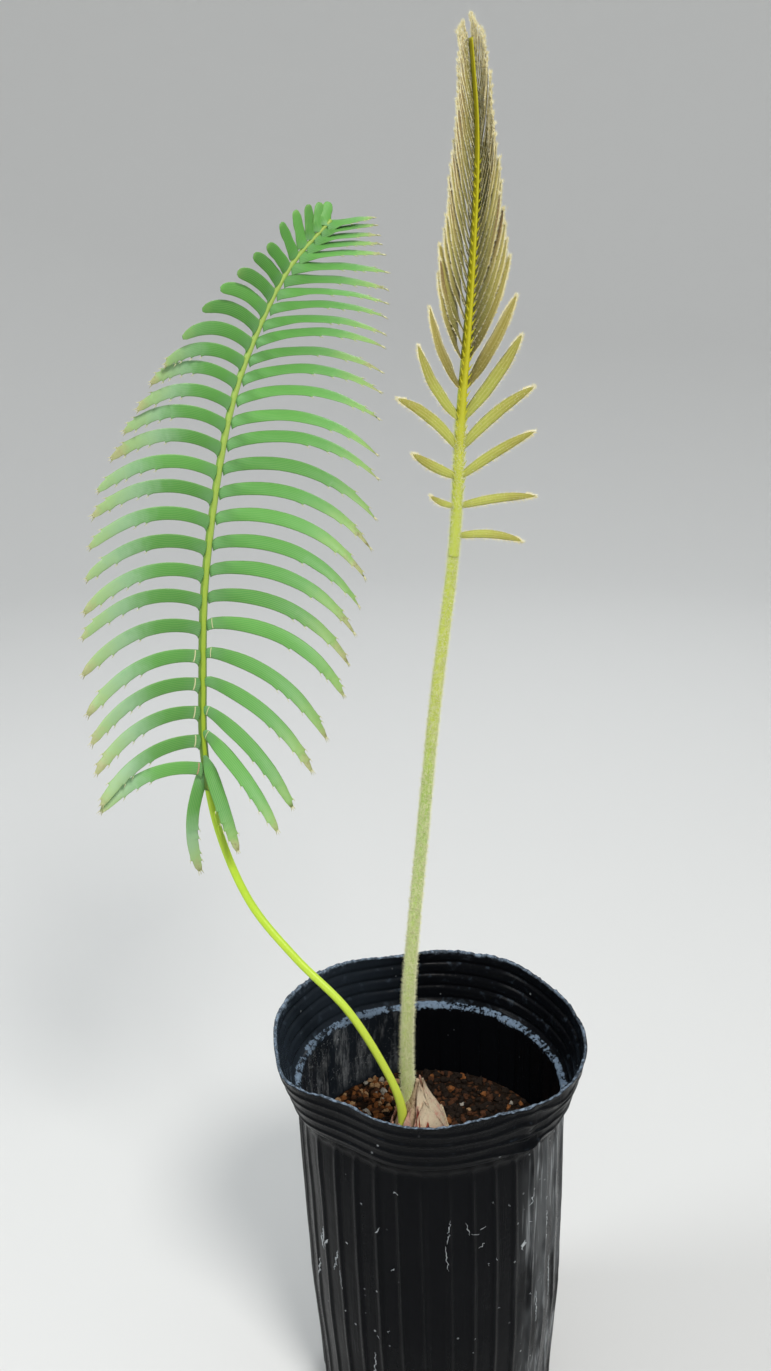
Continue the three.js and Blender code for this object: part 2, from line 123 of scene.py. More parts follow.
class Signal:
    """The output of a shader node, which can be added to, multiplied and passed on."""

    def __init__(self, tree, socket):
        self.tree = tree
        self.socket = socket

    def node(self, kind, settings, inputs, output=0):
        made = self.tree.nodes.new(kind)
        for name, value in settings.items():
            setattr(made, name, value)
        for name, value in inputs.items():
            if isinstance(value, Signal):
                self.tree.links.new(value.socket, made.inputs[name])
            else:
                made.inputs[name].default_value = value
        return Signal(self.tree, made.outputs[output])

    def math(self, operation, other=0.0):
        return self.node("ShaderNodeMath", {"operation": operation}, {0: self, 1: other})

    def __add__(self, other):
        return self.math("ADD", other)

    def __sub__(self, other):
        return self.math("SUBTRACT", other)

    def __rsub__(self, other):
        return self.node("ShaderNodeMath", {"operation": "SUBTRACT"}, {0: other, 1: self})

    def __mul__(self, other):
        return self.math("MULTIPLY", other)

    __radd__ = __add__
    __rmul__ = __mul__

    def attribute(self, name):
        return self.node("ShaderNodeAttribute", {"attribute_name": name}, {}, "Fac")

    def facing_up(self):
        normal = self.node("ShaderNodeNewGeometry", {}, {}, "Normal")
        return normal.node("ShaderNodeSeparateXYZ", {}, {0: normal}, "Z")

    def part(self, axis):
        return self.node("ShaderNodeSeparateXYZ", {}, {0: self}, axis)

    def stretched(self, x, y, z):
        return self.node("ShaderNodeVectorMath", {"operation": "MULTIPLY"}, {0: self, 1: (x, y, z)})

    def noise(self, scale, detail=2.0, roughness=0.5):
        values = {"Vector": self, "Scale": scale, "Detail": detail, "Roughness": roughness}
        return self.node("ShaderNodeTexNoise", {}, values)

    def spots(self, scale):
        return self.node("ShaderNodeTexVoronoi", {}, {"Vector": self, "Scale": scale}, "Distance")

    def over(self, low, high):
        """Rises smoothly from 0 at low to 1 at high."""
        values = {"Value": self, "From Min": low, "From Max": high}
        return self.node("ShaderNodeMapRange", {"interpolation_type": "SMOOTHSTEP"}, values)

    def over_mm(self, low, high):
        return self.over(low * MM, high * MM)

    def mix(self, off, on):
        """The colour off where this is 0, and on where it is 1."""
        return self.node("ShaderNodeMix", {"data_type": "RGBA"}, {0: self, 6: off, 7: on}, 2)

    def relief(self, strength, distance):
        """Makes this height a normal, by a bump of that distance in millimetres."""
        values = {"Height": self, "Strength": strength, "Distance": distance * MM}
        return self.node("ShaderNodeBump", {}, values, "Normal")

    def drives(self, socket):
        shader = self.tree.nodes["Principled BSDF"]
        self.tree.links.new(self.socket, shader.inputs[socket])


def new_finish(name, **constants):
    """A material, and the place on the object as a Signal. Constants go on the shader itself."""
    material = bpy.data.materials.new(name)
    material.use_nodes = True
    shader = material.node_tree.nodes["Principled BSDF"]
    for socket, value in constants.items():
        shader.inputs[socket.replace("_", " ")].default_value = value
    coordinates = material.node_tree.nodes.new("ShaderNodeTexCoord")
    return material, Signal(material.node_tree, coordinates.outputs["Object"])


def new_piece(name, points, faces, finishes, finish_of=None, facts=None, creased=False):
    """A mesh in place, riding with the plant. Points are in millimetres."""
    mesh = bpy.data.meshes.new(name)
    mesh.from_pydata((np.asarray(points) * MM).tolist(), [], faces)
    for finish in finishes:
        mesh.materials.append(finish)
    if finish_of is not None:
        mesh.polygons.foreach_set("material_index", np.asarray(finish_of, dtype=np.int32))
    for fact, values in (facts or {}).items():
        layer = mesh.attributes.new(fact, "FLOAT", "POINT")
        layer.data.foreach_set("value", np.asarray(values, dtype=np.float32))
    mesh.polygons.foreach_set("use_smooth", np.full(len(mesh.polygons), not creased))
    mesh.update()
    piece = bpy.data.objects.new(name, mesh)
    bpy.context.scene.collection.objects.link(piece)
    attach(piece, "root")
    return piece


def grid_faces(rows, columns, first=0):
    """Quads of a grid of points whose columns close round."""
    faces = []
    for row in range(rows - 1):
        low = first + row * columns
        for column in range(columns):
            beside = (column + 1) % columns
            faces.append((low + column, low + beside, low + columns + beside, low + columns + column))
    return faces


def smooth_step(low, high, value):
    share = np.clip((value - low) / (high - low), 0, 1)
    return share * share * (3 - 2 * share)


def hump(distance):
    """1 at no distance, falling to a third at 1 and to nothing past 2."""
    return np.exp(-(distance**2))


def near_angle(angle, at, spread):
    """A hump round the pot at that angle. Both at and spread are in degrees."""
    return hump(((np.degrees(angle) - at + 180) % 360 - 180) / spread)


def round_turns(count):
    """Evenly spaced angles, once round."""
    return np.arange(count) / count * 2 * math.pi


def outward(angle, up=0):
    """Directions away from the pot's middle."""
    return np.stack([np.cos(angle), np.sin(angle), 0 * angle + up], axis=-1)


def ripple(points, size, shift):
    """Smooth noise from -1 to 1 at each point, in lumps of about that size."""
    flat = np.asarray(points).reshape(-1, 3) / size + shift
    values = [noise.noise(Vector(point)) for point in flat]
    return np.array(values).reshape(np.asarray(points).shape[:-1])


def pot_point(angle, radius, height):
    """A point of the round pot, moved by its lean, its tilted mouth and its bent rim."""
    share = height / POT_HEIGHT
    bent = np.zeros_like(angle)
    for at, out, spread in RIM_WAVES:
        bent = bent + out * near_angle(angle, at, spread)
    radius = radius + bent * share**6 * np.minimum(1, radius / BELL_FOOT_RADIUS)
    tilt = -POT_RIM_TILT * np.cos(angle) * (radius / POT_RIM_RADIUS) * share**3
    across = radius * np.cos(angle) + POT_LEAN * share
    return np.stack([across, radius * np.sin(angle), height + tilt], axis=-1)


def body_radius(height):
    return np.interp(height, BODY_HEIGHTS, BODY_RADII)


def bell_radius(height):
    return np.interp(height, [BELL_FOOT, POT_HEIGHT], [BELL_FOOT_RADIUS, POT_RIM_RADIUS])


def pleat_relief(angle, height):
    pitch = 2 * math.pi / PLEATS
    away = (angle - math.radians(FIRST_PLEAT) + pitch / 2) % pitch - pitch / 2
    fade = smooth_step(PLEAT_BOTTOM - 4, PLEAT_BOTTOM, height)
    fade = fade * (1 - smooth_step(PLEAT_TOP - 4, PLEAT_TOP + 2, height))
    return PLEAT_DEPTH * fade * hump(away * BELL_FOOT_RADIUS / PLEAT_WIDTH)


def ring_relief(angle, height):
    """The bell's rings, which run level except where the film is crinkled, and the place
    where its foot has sagged outward."""
    round_place = outward(angle, height / 40) * 30
    crinkled = near_angle(angle, CRINKLE_ANGLE, CRINKLE_SPREAD)
    drift = ripple(round_place, 9, 4.0) * (RING_WANDER + CRINKLED_WANDER * crinkled)
    relief = np.zeros_like(angle)
    for ring in range(BELL_RINGS):
        crest = BELL_FOOT + BELL_RING_PITCH * (ring + 0.5)
        relief = relief + hump((height - crest + drift) / BELL_RING_WIDTH)
    sag = near_angle(angle, BELL_SAG_ANGLE, BELL_SAG_SPREAD)
    sag = sag * hump((height - BELL_FOOT - BELL_SAG_RISE) / BELL_SAG_REACH)
    crinkles = CRINKLE_DEPTH * crinkled * ripple(round_place, 4, 9.0)
    return BELL_RING_DEPTH * relief + crinkles + BELL_SAG * sag


def film_dents(place):
    return FILM_DENT * (ripple(place, 34, 1.0) + 0.35 * ripple(place, 9, 2.0))


def pot_wall():
    """Rows of points up the outside, over the rim and down the inside, as a closed skin, and
    how near each row is to the sill inside the bell's foot."""
    angle = round_turns(POT_SIDES)
    rows = []

    def row(radius, height, raised=0.0):
        heights = np.full(POT_SIDES, float(height))
        place = pot_point(angle, np.full(POT_SIDES, radius) + raised, heights)
        dents = film_dents(place) * smooth_step(0, FOOT_STIFFNESS, heights)
        place = place + outward(angle) * dents[:, None]
        ragged = RAGGED_EDGE * smooth_step(POT_HEIGHT - RAGGED_REACH, POT_HEIGHT, heights)
        place[:, 2] += ragged * (ripple(place, 6, 3.0) + 1.3 * ripple(place, 1.7, 5.0))
        rows.append(place)

    def body_row(height, inset=0.0):
        row(body_radius(height) - inset, height, pleat_relief(angle, np.full(POT_SIDES, height)))

    def bell_row(height, inset=0.0):
        row(bell_radius(height) - inset, height, ring_relief(angle, np.full(POT_SIDES, height)))

    row(body_radius(0) - POT_FOOT_ROUND, 0)
    row(body_radius(0) - POT_FOOT_ROUND * 0.3, POT_FOOT_ROUND * 0.3)
    for height in np.linspace(*BODY_OUTSIDE, BODY_ROWS):
        body_row(height)
    row(BELL_FOOT_RADIUS - 0.4, BELL_FOOT - BELL_STEP)
    for height in np.linspace(*BELL_OUTSIDE, BELL_ROWS):
        bell_row(height)
    for inward, up in RIM_EDGE:
        row(POT_RIM_RADIUS - inward, POT_HEIGHT + up)
    for height in np.linspace(*BELL_INSIDE, BELL_ROWS):
        bell_row(height, POT_WALL)
    sill = [0] * len(rows)
    jagged = ripple(outward(angle) * 50, 2.5, 7.0) * 0.5
    for out, up in SILL_PROFILE:
        reach = body_radius(BELL_FOOT) - POT_WALL + out
        row(reach, BELL_FOOT + up, jagged * (1 - out / SILL_PROFILE[0][0]))
        sill.append(SILL_DUST_AND_SHEEN)
    for below in SILL_DUST_AND_SHEEN_ROWS:
        body_row(BELL_FOOT - below, POT_WALL)
        sill.append(SILL_DUST_AND_SHEEN * (1 - below / SILL_DUST_AND_SHEEN_ROWS[-1]))
    for height in np.linspace(*BODY_INSIDE, INNER_ROWS):
        body_row(height, POT_WALL)
        sill.append(0)
    return rows, sill


def pot_floor(outer_low, first_low, first_high, count):
    """Points and faces of the floor between the wall's first and last rows, with its drains."""
    turn = round_turns(DRAIN_HOLE_SIDES)
    flat = [Vector(point[:2]) for point in outer_low]
    edges = [(k, (k + 1) % POT_SIDES) for k in range(POT_SIDES)]
    centres = []
    for hole in range(DRAIN_HOLES):
        angle = (hole + 0.5) / DRAIN_HOLES * 2 * math.pi
        centre = Vector((math.cos(angle), math.sin(angle))) * DRAIN_CIRCLE_RADIUS
        centres.append(centre)
        start = len(flat)
        flat += [centre + Vector((math.cos(t), math.sin(t))) * DRAIN_HOLE_RADIUS for t in turn]
        edges += [(start + k, start + (k + 1) % DRAIN_HOLE_SIDES) for k in range(DRAIN_HOLE_SIDES)]
    triangles = delaunay_2d_cdt(flat, edges, [], 1, 1e-6)[2]
    holes = len(flat) - POT_SIDES
    low = list(range(first_low, first_low + POT_SIDES)) + list(range(count, count + holes))
    high = list(range(first_high, first_high + POT_SIDES)) + list(range(count + holes, count + 2 * holes))
    points = [(p.x, p.y, 0.0) for p in flat[POT_SIDES:]]
    points += [(p.x, p.y, POT_FLOOR) for p in flat[POT_SIDES:]]
    faces = []
    for a, b, c in triangles:
        middle = (flat[a] + flat[b] + flat[c]) / 3
        if all((middle - centre).length > DRAIN_HOLE_RADIUS for centre in centres):
            faces.append((low[a], low[c], low[b]))
            faces.append((high[a], high[b], high[c]))
    for a, b in edges[POT_SIDES:]:
        faces.append((low[a], low[b], high[b], high[a]))
    return points, faces


def film_finish():
    """Black film, dusty and with a painted sky reflection on its sill, lip and ring crests, limed inside, and
    streaked down one side with lime and a painted reflection.
    """
    film, place = new_finish("black_film", Specular_IOR_Level=0.05)
    grain = place.noise(900, 3)
    blotches = place.noise(120, 4, 0.65)
    patchy = place.noise(520, 4, 0.75)
    height = place.part("Z")
    level = place.facing_up()
    left = 1 - place.part("X").over_mm(*CRUST_LEFT)
    back = place.part("Y").over_mm(*CRUST_BACK)
    # The lip: dust with a painted highlight where the rim's top faces up
    lip = height.over_mm(POT_HEIGHT - 2.5, POT_HEIGHT - 1) * level.over(0.2, 0.7)
    lip = lip * (0.25 + 1.1 * patchy.over(0.42, 0.62))
    near_sill = place.attribute("sill")
    ragged = 3.2 * (patchy - 0.5) + 2.2 * (blotches - 0.5)
    # The sill: dust with a painted sky reflection on its rounded shoulder, ragged along its lower edge
    sill = near_sill.over(0.02, 0.3) * (near_sill + ragged).over(0.55, 0.85)
    # Painted glints and dust on the ring crests, where the film faces up
    crest_glints_and_dust = level.over(0.1, 0.5) * place.noise(260, 3).over(0.56, 0.75)
    inside = 1 - place.attribute("outside")
    mouth = inside * height.over_mm(*CRUST_LOW) * (1 - height.over_mm(BELL_FOOT - 2, BELL_FOOT + 1))
    smears = place.stretched(1, 1, 0.22).noise(210, 5, 0.75).over(0.46, 0.75)
    crumbs = place.noise(900, 3, 0.7).over(0.55, 0.68) * place.noise(110, 3).over(0.42, 0.6)
    crust = mouth * left * back * (0.75 * smears + 0.6 * crumbs)
    # Streaks down the right side: lime with a painted reflection of the lights
    right = place.part("X").over_mm(*STREAKS_RIGHT)
    right = right * (1 - 0.7 * place.part("Y").over_mm(*STREAKS_BACK))
    threads = place.stretched(1, 1, 0.04).noise(620, 3, 0.6).over(0.52, 0.7)
    wisps = place.stretched(1, 1, 0.3).noise(75, 3, 0.6).over(0.38, 0.62)
    below_bell = 1 - height.over_mm(BELL_FOOT - 6, BELL_FOOT - 1)
    streaks = right * below_bell * wisps * (0.25 + 0.9 * threads) * place.attribute("outside")
    specks = (1 - place.spots(160).over(0.04, 0.1)) * place.noise(45, 1).over(0.5, 0.62)
    # Dust and painted sheen together, and a faint grey over the inside of the left wall
    dust_and_sheen = 0.5 * lip + 0.62 * sill * (0.55 + 0.9 * grain) + 0.08 * crest_glints_and_dust + 0.05 * left * inside
    dust_and_sheen = dust_and_sheen.math("MINIMUM", 1.0)
    # Lime crust and specks, with the right side's streaks and the lip also carrying painted reflection
    lime_and_sheen = 0.5 * crust + 0.65 * streaks + 0.5 * specks + 0.16 * lip * grain
    lime_and_sheen = lime_and_sheen.math("MINIMUM", 1.0)
    lime_and_sheen.mix(dust_and_sheen.mix(FILM_BLACK, DUST_AND_SKY_SHEEN_BLUE), WHITISH_GREY).drives("Base Color")
    (0.14 + 0.14 * blotches + 0.4 * dust_and_sheen + 0.3 * lime_and_sheen).drives("Roughness")
    (place.noise(140, 2) + 0.12 * grain + 0.3 * threads).relief(0.3, 0.5).drives("Normal")
    return film


wall_rows, wall_sill = pot_wall()
wall_points = np.concatenate(wall_rows)
wall_faces = grid_faces(len(wall_rows), POT_SIDES)
last_row = (len(wall_rows) - 1) * POT_SIDES
floor_points, floor_faces = pot_floor(wall_rows[0], 0, last_row, len(wall_points))
pot = new_piece(
    "pot_film",
    np.concatenate([wall_points, np.array(floor_points)]),
    wall_faces + floor_faces,
    [film_finish()],
    facts={
        "outside": np.arange(len(wall_points) + len(floor_points)) < OUTSIDE_ROWS * POT_SIDES,
        "sill": np.concatenate([np.repeat(wall_sill, POT_SIDES), np.zeros(len(floor_points))]),
    },
)
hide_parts("pot")

# Scuffs on the pot
# Short scratches that have turned the black film white. Each is a raw edge of film that
# stands a tenth of a millimetre proud of the body, along a jagged line.

SCUFF_SEED = 21
SCUFF_PROUD = 0.12
SCUFF_SUNK = 0.25
SCUFF_STEP = 0.7
SCUFF_WANDER = 0.3
SCUFF_RAGGED = (0.35, 1.5)
THINNEST_SCUFF = 0.05
SCUFF_HEIGHTS = (9, 139)
# Share of a skin's strip in the map that is left empty at each side and at each end
MAP_GUTTERS = (0.02, 0.01)
SCUFF_GREY = (0.26, 0.29, 0.31, 1)
# Angle round the pot in degrees, height, length, direction and width of each large scuff
SCUFFS = [
    (-147, 95, 9, 75, 1.8), (-149, 90, 7, 100, 1.2), (-145, 92, 6, 60, 0.8), (-85, 117, 11, 88, 0.35),
    (-86, 105, 11, 94, 0.4), (-77, 117, 6, 102, 0.3), (-74, 114.2, 3.4, -24, 0.25),
    (-70.5, 116, 2.4, 38, 0.3), (-71, 108, 3, 30, 0.4), (-50, 100, 4.5, 70, 2.0),
    (-154, 74, 10, 82, 0.7), (-139, 87, 12, 75, 0.8), (-136, 80, 8, 100, 0.5),
    (-115, 113, 4, 60, 0.5), (-40, 64, 16, 92, 0.6), (-33, 100, 14, 88, 0.8),
    (-29, 72, 20, 91, 0.7), (-45, 120, 7, 70, 0.4), (-120, 46, 13, 84, 0.5), (-70, 38, 10, 96, 0.5),
    (20, 90, 14, 88, 0.7), (64, 70, 12, 80, 0.5), (118, 104, 10, 100, 0.6), (160, 60, 15, 86, 0.7),
    (-172, 110, 12, 92, 0.6), (90, 40, 9, 75, 0.5), (140, 36, 10, 95, 0.6),
]
SMALL_SCUFFS = 70
# The same five measures of a small scuff, each as its least and most
SMALL_SCUFF_RANGES = [(-180, 180), (15, 136), (0.5, 2.2), (0, 180), (0.15, 0.5)]


def scuff_ribbon(angle, height, length, direction, width, random):
    """A thin closed sliver that follows the pot's wall along a jagged line."""
    steps = max(3, int(length / SCUFF_STEP))
    heading = math.radians(direction)
    places = []
    for k in range(steps + 1):
        share = k / steps
        away = (share - 0.5) * length
        side = random.normal(0, SCUFF_WANDER)
        around = (away * math.cos(heading) - side * math.sin(heading)) / BODY_RADII[3]
        up = height + away * math.sin(heading) + side * math.cos(heading)
        middle = np.array([math.radians(angle) + around, np.clip(up, *SCUFF_HEIGHTS)])
        places.append((middle, math.sin(math.pi * share) ** 0.6))
    rings = []
    for middle, fullness in places:
        half = max(THINNEST_SCUFF, width * fullness * random.uniform(*SCUFF_RAGGED)) / 2
        across = np.array([-math.sin(heading) / BODY_RADII[3], math.cos(heading)]) * half
        corners = []
        for shift, proud in [(-1, 0.0), (0, SCUFF_PROUD), (1, 0.0), (0, -SCUFF_SUNK)]:
            at, level = (middle + across * shift)[:, None]
            point = pot_point(at, body_radius(level) + pleat_relief(at, level) + proud, level)
            corners.append((point + outward(at) * film_dents(point)[:, None])[0])
        rings.append(corners)
    return np.array(rings)


def skin(rings, first=0):
    """Closed skin over rings of points that all have the same count."""
    count, sides = rings.shape[:2]
    faces = grid_faces(count, sides, first)
    faces.append(tuple(range(first + sides - 1, first - 1, -1)))
    last = first + (count - 1) * sides
    faces.append(tuple(range(last, last + sides)))
    return faces


class Skins:
    """Gathers closed skins, with what each finish needs to know of every point. In the
    piece's own map, if it has one, the skins lie side by side, each unrolled upright."""

    def __init__(self):
        self.points = []
        self.faces = []
        self.kinds = []
        self.facts = {}
        self.places = []
        self.count = 0

    def add(self, rings, kind=0, **facts):
        rows, sides = rings.shape[:2]
        faces = skin(rings, self.count)
        self.faces += faces
        self.kinds += [kind] * len(faces)
        self.points.append(rings.reshape(-1, 3))
        for fact, value in facts.items():
            self.facts.setdefault(fact, []).append(np.broadcast_to(value, (rows, sides)).reshape(-1))
        row, column = np.mgrid[0 : rows - 1, 0:sides]
        across = np.stack([column, column + 1, column + 1, column], axis=-1).reshape(-1) / sides
        along = np.stack([row, row, row + 1, row + 1], axis=-1).reshape(-1) / (rows - 1)
        ends = np.arange(sides) / sides
        across = np.concatenate([across, ends[::-1], ends])
        along = np.concatenate([along, np.zeros(sides), np.ones(sides)])
        places = np.stack([across, along], axis=-1)
        self.places.append(places * (1 - 2 * np.array(MAP_GUTTERS)) + MAP_GUTTERS)
        self.count += rows * sides

    def piece(self, name, finishes, slot, mapped=False):
        facts = {fact: np.concatenate(values) for fact, values in self.facts.items()}
        made = new_piece(name, np.concatenate(self.points), self.faces, finishes, self.kinds, facts)
        if mapped:
            spread = [(place + [k, 0]) / [len(self.places), 1] for k, place in enumerate(self.places)]
            layer = made.data.uv_layers.new(name="OFBake")
            layer.data.foreach_set("uv", np.concatenate(spread).astype(np.float32).ravel())
        return made


def scuff_finish():
    scuff, place = new_finish("scuffed_film", Roughness=0.6)
    place.noise(700, 3).over(0.3, 0.7).mix(SCUFF_GREY, WHITISH_GREY).drives("Base Color")
    return scuff


scuff_random = np.random.default_rng(SCUFF_SEED)
small_scuffs = [
    tuple(scuff_random.uniform(*span) for span in SMALL_SCUFF_RANGES) for _ in range(SMALL_SCUFFS)
]
scuffs = Skins()
for scuff in SCUFFS + small_scuffs:
    scuffs.add(scuff_ribbon(*scuff, scuff_random))
scuffs.piece("pot_scuffs", [scuff_finish()], "pot_plastic")

# Growing mix
# Baked clay granules two to three millimetres across, orange-brown with some darker and some
# pale ones, poured round the stem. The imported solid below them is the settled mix.

MIX_SEED = 5
GRANULES = 1650
GRANULE_SIZE = (0.9, 1.75)
GRANULE_SQUASH = (0.72, 1.15)
GRANULE_LUMPS = 0.2
LUMP_LIMIT = 1.4
GRANULE_LIFT = (-0.14, 0.77)
GRANULE_DIVISIONS = 1
MIX_RADIUS = 47.5
MIX_CENTRE = np.array([-3.4, 0.0])
MIX_TOP = 125
MIX_LOWEST = 100
STEM_AXIS = np.array([-8.5, -3.0])
STEM_CLEARANCE = 9.5
GRANULE_COLOURS = {
    "clay_orange": (0.23, 0.085, 0.025, 1),
    "clay_brown": (0.08, 0.032, 0.014, 1),
    "clay_tan": (0.40, 0.24, 0.12, 1),
    "clay_dark": (0.018, 0.011, 0.007, 1),
    "pumice_grey": (0.36, 0.33, 0.28, 1),
}
# Painted shade in the hollows between the lumps of the settled mix
MIX_HOLLOW_SHADE = (0.012, 0.007, 0.004, 1)
# Shares of the kinds in the back left of the pot, and in the rest of it, where many near-black granules are
# painted shade
UNSHADED_SHARES = [0.42, 0.2, 0.26, 0.06, 0.06]
PAINTED_SHADE_SHARES = [0.05, 0.2, 0.015, 0.725, 0.01]
UNSHADED_PLACE = np.array([-29, 29])
UNSHADED_REACH = (10, 19)


def granule_finish(name, colour):
    finish, place = new_finish(name, Roughness=0.95, Specular_IOR_Level=0.2)
    pits = place.noise(1600, 4, 0.7)
    darker = (*(value * 0.5 for value in colour[:3]), 1)
    pits.over(0.3, 0.62).mix(darker, colour).drives("Base Color")
    pits.relief(0.6, 0.25).drives("Normal")
    return finish


def settled_mix_finish():
    finish, place = new_finish("settled_mix", Roughness=1.0, Specular_IOR_Level=0.1)
    lumps = place.spots(420)
    # Near-black between the lumps: painted shade in the hollows
    lumps.over(0.15, 0.6).mix(GRANULE_COLOURS["clay_brown"], MIX_HOLLOW_SHADE).drives("Base Color")
    (1 - lumps).relief(1.0, 1.2).drives("Normal")
    return finish


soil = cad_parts["soil"]
soil.data.materials.clear()
soil.data.materials.append(settled_mix_finish())
mix_corners = [vertex.co / MM for vertex in soil.data.vertices]
mix_top = BVHTree.FromPolygons(mix_corners, [face.vertices for face in soil.data.polygons])
mix_random = np.random.default_rng(MIX_SEED)
ball = bmesh.new()
bmesh.ops.create_icosphere(ball, subdivisions=GRANULE_DIVISIONS, radius=1)
ball_points = np.array([v.co for v in ball.verts])
ball_faces = np.array([[v.index for v in face.verts] for face in ball.faces])
ball.free()
granule_points = []
granule_faces = []
granule_kinds = []
while len(granule_points) < GRANULES:
    reach = MIX_RADIUS * math.sqrt(mix_random.uniform(0, 1))
    turn = mix_random.uniform(0, 2 * math.pi)
    centre = MIX_CENTRE + np.array([math.cos(turn), math.sin(turn)]) * reach
    if np.linalg.norm(centre - STEM_AXIS) < STEM_CLEARANCE:
        continue
    hit = mix_top.ray_cast(Vector((*centre, MIX_TOP)), Vector((0, 0, -1)))[0]
    if hit is None or hit.z < MIX_LOWEST:
        continue
    size = mix_random.uniform(*GRANULE_SIZE)
    squash = mix_random.uniform(*GRANULE_SQUASH, 3)
    lumps = mix_random.normal(0, 1, (len(ball_points), 1)).clip(-LUMP_LIMIT, LUMP_LIMIT)
    lumpy = 1 + GRANULE_LUMPS * lumps
    turn_by = np.linalg.qr(mix_random.normal(0, 1, (3, 3)))[0]
    shape = (ball_points * lumpy * squash * size) @ turn_by.T
    lift = mix_random.uniform(*GRANULE_LIFT) * size
    granule_faces.append(ball_faces + len(granule_points) * len(ball_points))
    # Away from the back left, near-black granules are painted shade inside the pot
    dry = 1 - smooth_step(*UNSHADED_REACH, np.linalg.norm(centre - UNSHADED_PLACE))
    shares = np.array(UNSHADED_SHARES) * dry + np.array(PAINTED_SHADE_SHARES) * (1 - dry)
    granule_kinds += [mix_random.choice(len(shares), p=shares)] * len(ball_faces)
    granule_points.append(shape + [centre[0], centre[1], hit.z + lift])
new_piece(
    "growing_mix_granules",
    np.concatenate(granule_points),
    np.concatenate(granule_faces).tolist(),
    [granule_finish(name, colour) for name, colour in GRANULE_COLOURS.items()],
    finish_of=granule_kinds,
    creased=True,
)

# Stem crown
# The short bulb of a stem, wrapped in dry papery scale leaves that overlap in a spiral. The
# stalks of both fronds come up between them.

SOIL_LEVEL = 115
# Heights over the mix, and the stem's radius at each
STEM_HEIGHTS = [-10, 0, 10, 19, 25, 30, 35]
STEM_RADII = [11.5, 12, 11.2, 8.4, 5.0, 2.6, 1.4]
STEM_LEAN = (-1.2, -2.0)
STEM_CORE_INSET = 1.1
STEM_SIDES = 64
STEM_ROWS = 40
SCALE_SEED = 3
SCALE_THICKNESS = 0.4
SCALE_FOLDS = 0.14
SCALE_FINE_FOLDS = 0.1
SCALE_RAGGED = 0.3
SCALE_TIP_LEAN = (-0.1, 0.1)
SCAR_DEPTH = 0.3
SCALE_ROWS = 26
SCALE_COLUMNS = 17
SPIRAL_SCALES = 13
SPIRAL_PITCH = 1.1
SPIRAL_TOP = 36
LONGEST_SCALE = 23
WIDEST_SCALE = 8.2
SCALE_NARROWING = 0.35
SPIRAL_TURN_SPREAD = 5
SPIRAL_LENGTHS = (0.8, 1.0)
SPIRAL_LIFTS = (0.1, 0.5)
PINK_SHARE = 0.3
GOLDEN_ANGLE = 137.5
# Scales in front: way they face in degrees, height of foot, length, half width, lift, kind
FRONT_SCALES = [
    (-71, 2, 24.5, 11.5, 1.0, 0), (-22, 15, 20, 4.6, 0.4, 0), (-70, 12, 22, 5.2, 0.1, 0),
    (-94, 4, 21, 1.8, 1.2, 2), (-116, 3, 21, 4.0, 0.9, 1), (-100, 2, 21, 2.2, 1.5, 1),
    (-76, 16, 4, 0.9, 2.0, 2),
]
# The side on which the full-grown stalk leaves the stem, the cosine within which a scale is
# on that side, and the height at which it then stops
STALK_SIDE = -143
STALK_SIDE_NEARNESS = 0.35
STALK_SIDE_TOP = 14
SHORTEST_SCALE = 3
PAPER_CREAM = (0.72, 0.60, 0.42, 1)
PAPER_PINK = (0.62, 0.34, 0.25, 1)
PAPER_BROWN = (0.13, 0.055, 0.03, 1)
PAPER_RED = (0.42, 0.06, 0.03, 1)
STEM_TAN = (0.52, 0.38, 0.25, 1)


def stem_radius(height):
    return np.interp(height, STEM_HEIGHTS, STEM_RADII)


def paper_finish(name, colour, stain):
    paper, place = new_finish(name, Roughness=0.72, Specular_IOR_Level=0.3)
    along = place.attribute("along")
    fibres = place.stretched(1, 1, 0.12).noise(1500, 4, 0.65)
    stains = place.noise(260, 5, 0.75)
    blush = stains.over(0.46, 0.66) * (1 - 0.6 * along.over(0.5, 0.95))
    edge = place.attribute("margin").over(0.84, 1.0) * place.noise(330, 3).over(0.4, 0.6)
    flecks = place.noise(900, 3, 0.7).over(0.6, 0.7)
    dark = (edge * 0.7 + fibres.over(0.6, 0.72) * 0.4 + 0.5 * flecks).math("MINIMUM", 1.0)
    dark.mix(blush.mix(colour, stain), PAPER_BROWN).drives("Base Color")
    (fibres + 0.6 * stains).relief(0.8, 0.4).drives("Normal")
    return paper


def stem_finish():
    bark, place = new_finish("stem_bark", Roughness=0.95, Specular_IOR_Level=0.2)
    rough = place.noise(420, 5, 0.7)
    rough.over(0.3, 0.52).mix(PAPER_BROWN, STEM_TAN).drives("Base Color")
    rough.relief(0.9, 0.8).drives("Normal")
    return bark


def stem_axis(height):
    """The middle of the stem at that height over the mix. It leans a little toward its top."""
    share = np.clip(height / STEM_HEIGHTS[-1], 0, 1)
    return np.array([*(STEM_AXIS + np.array(STEM_LEAN) * share**2), SOIL_LEVEL + height])


def stem_rings():
    angle = round_turns(STEM_SIDES)
    rings = []
    for height in np.linspace(STEM_HEIGHTS[0], STEM_HEIGHTS[-1] - 1, STEM_ROWS):
        scars = SCAR_DEPTH * np.cos(5 * angle + height * 1.3) * math.cos(height * 0.9)
        radius = np.maximum(0.3, stem_radius(height) - STEM_CORE_INSET + scars)
        rings.append(outward(angle) * radius[:, None] + stem_axis(height))
    return np.array(rings)


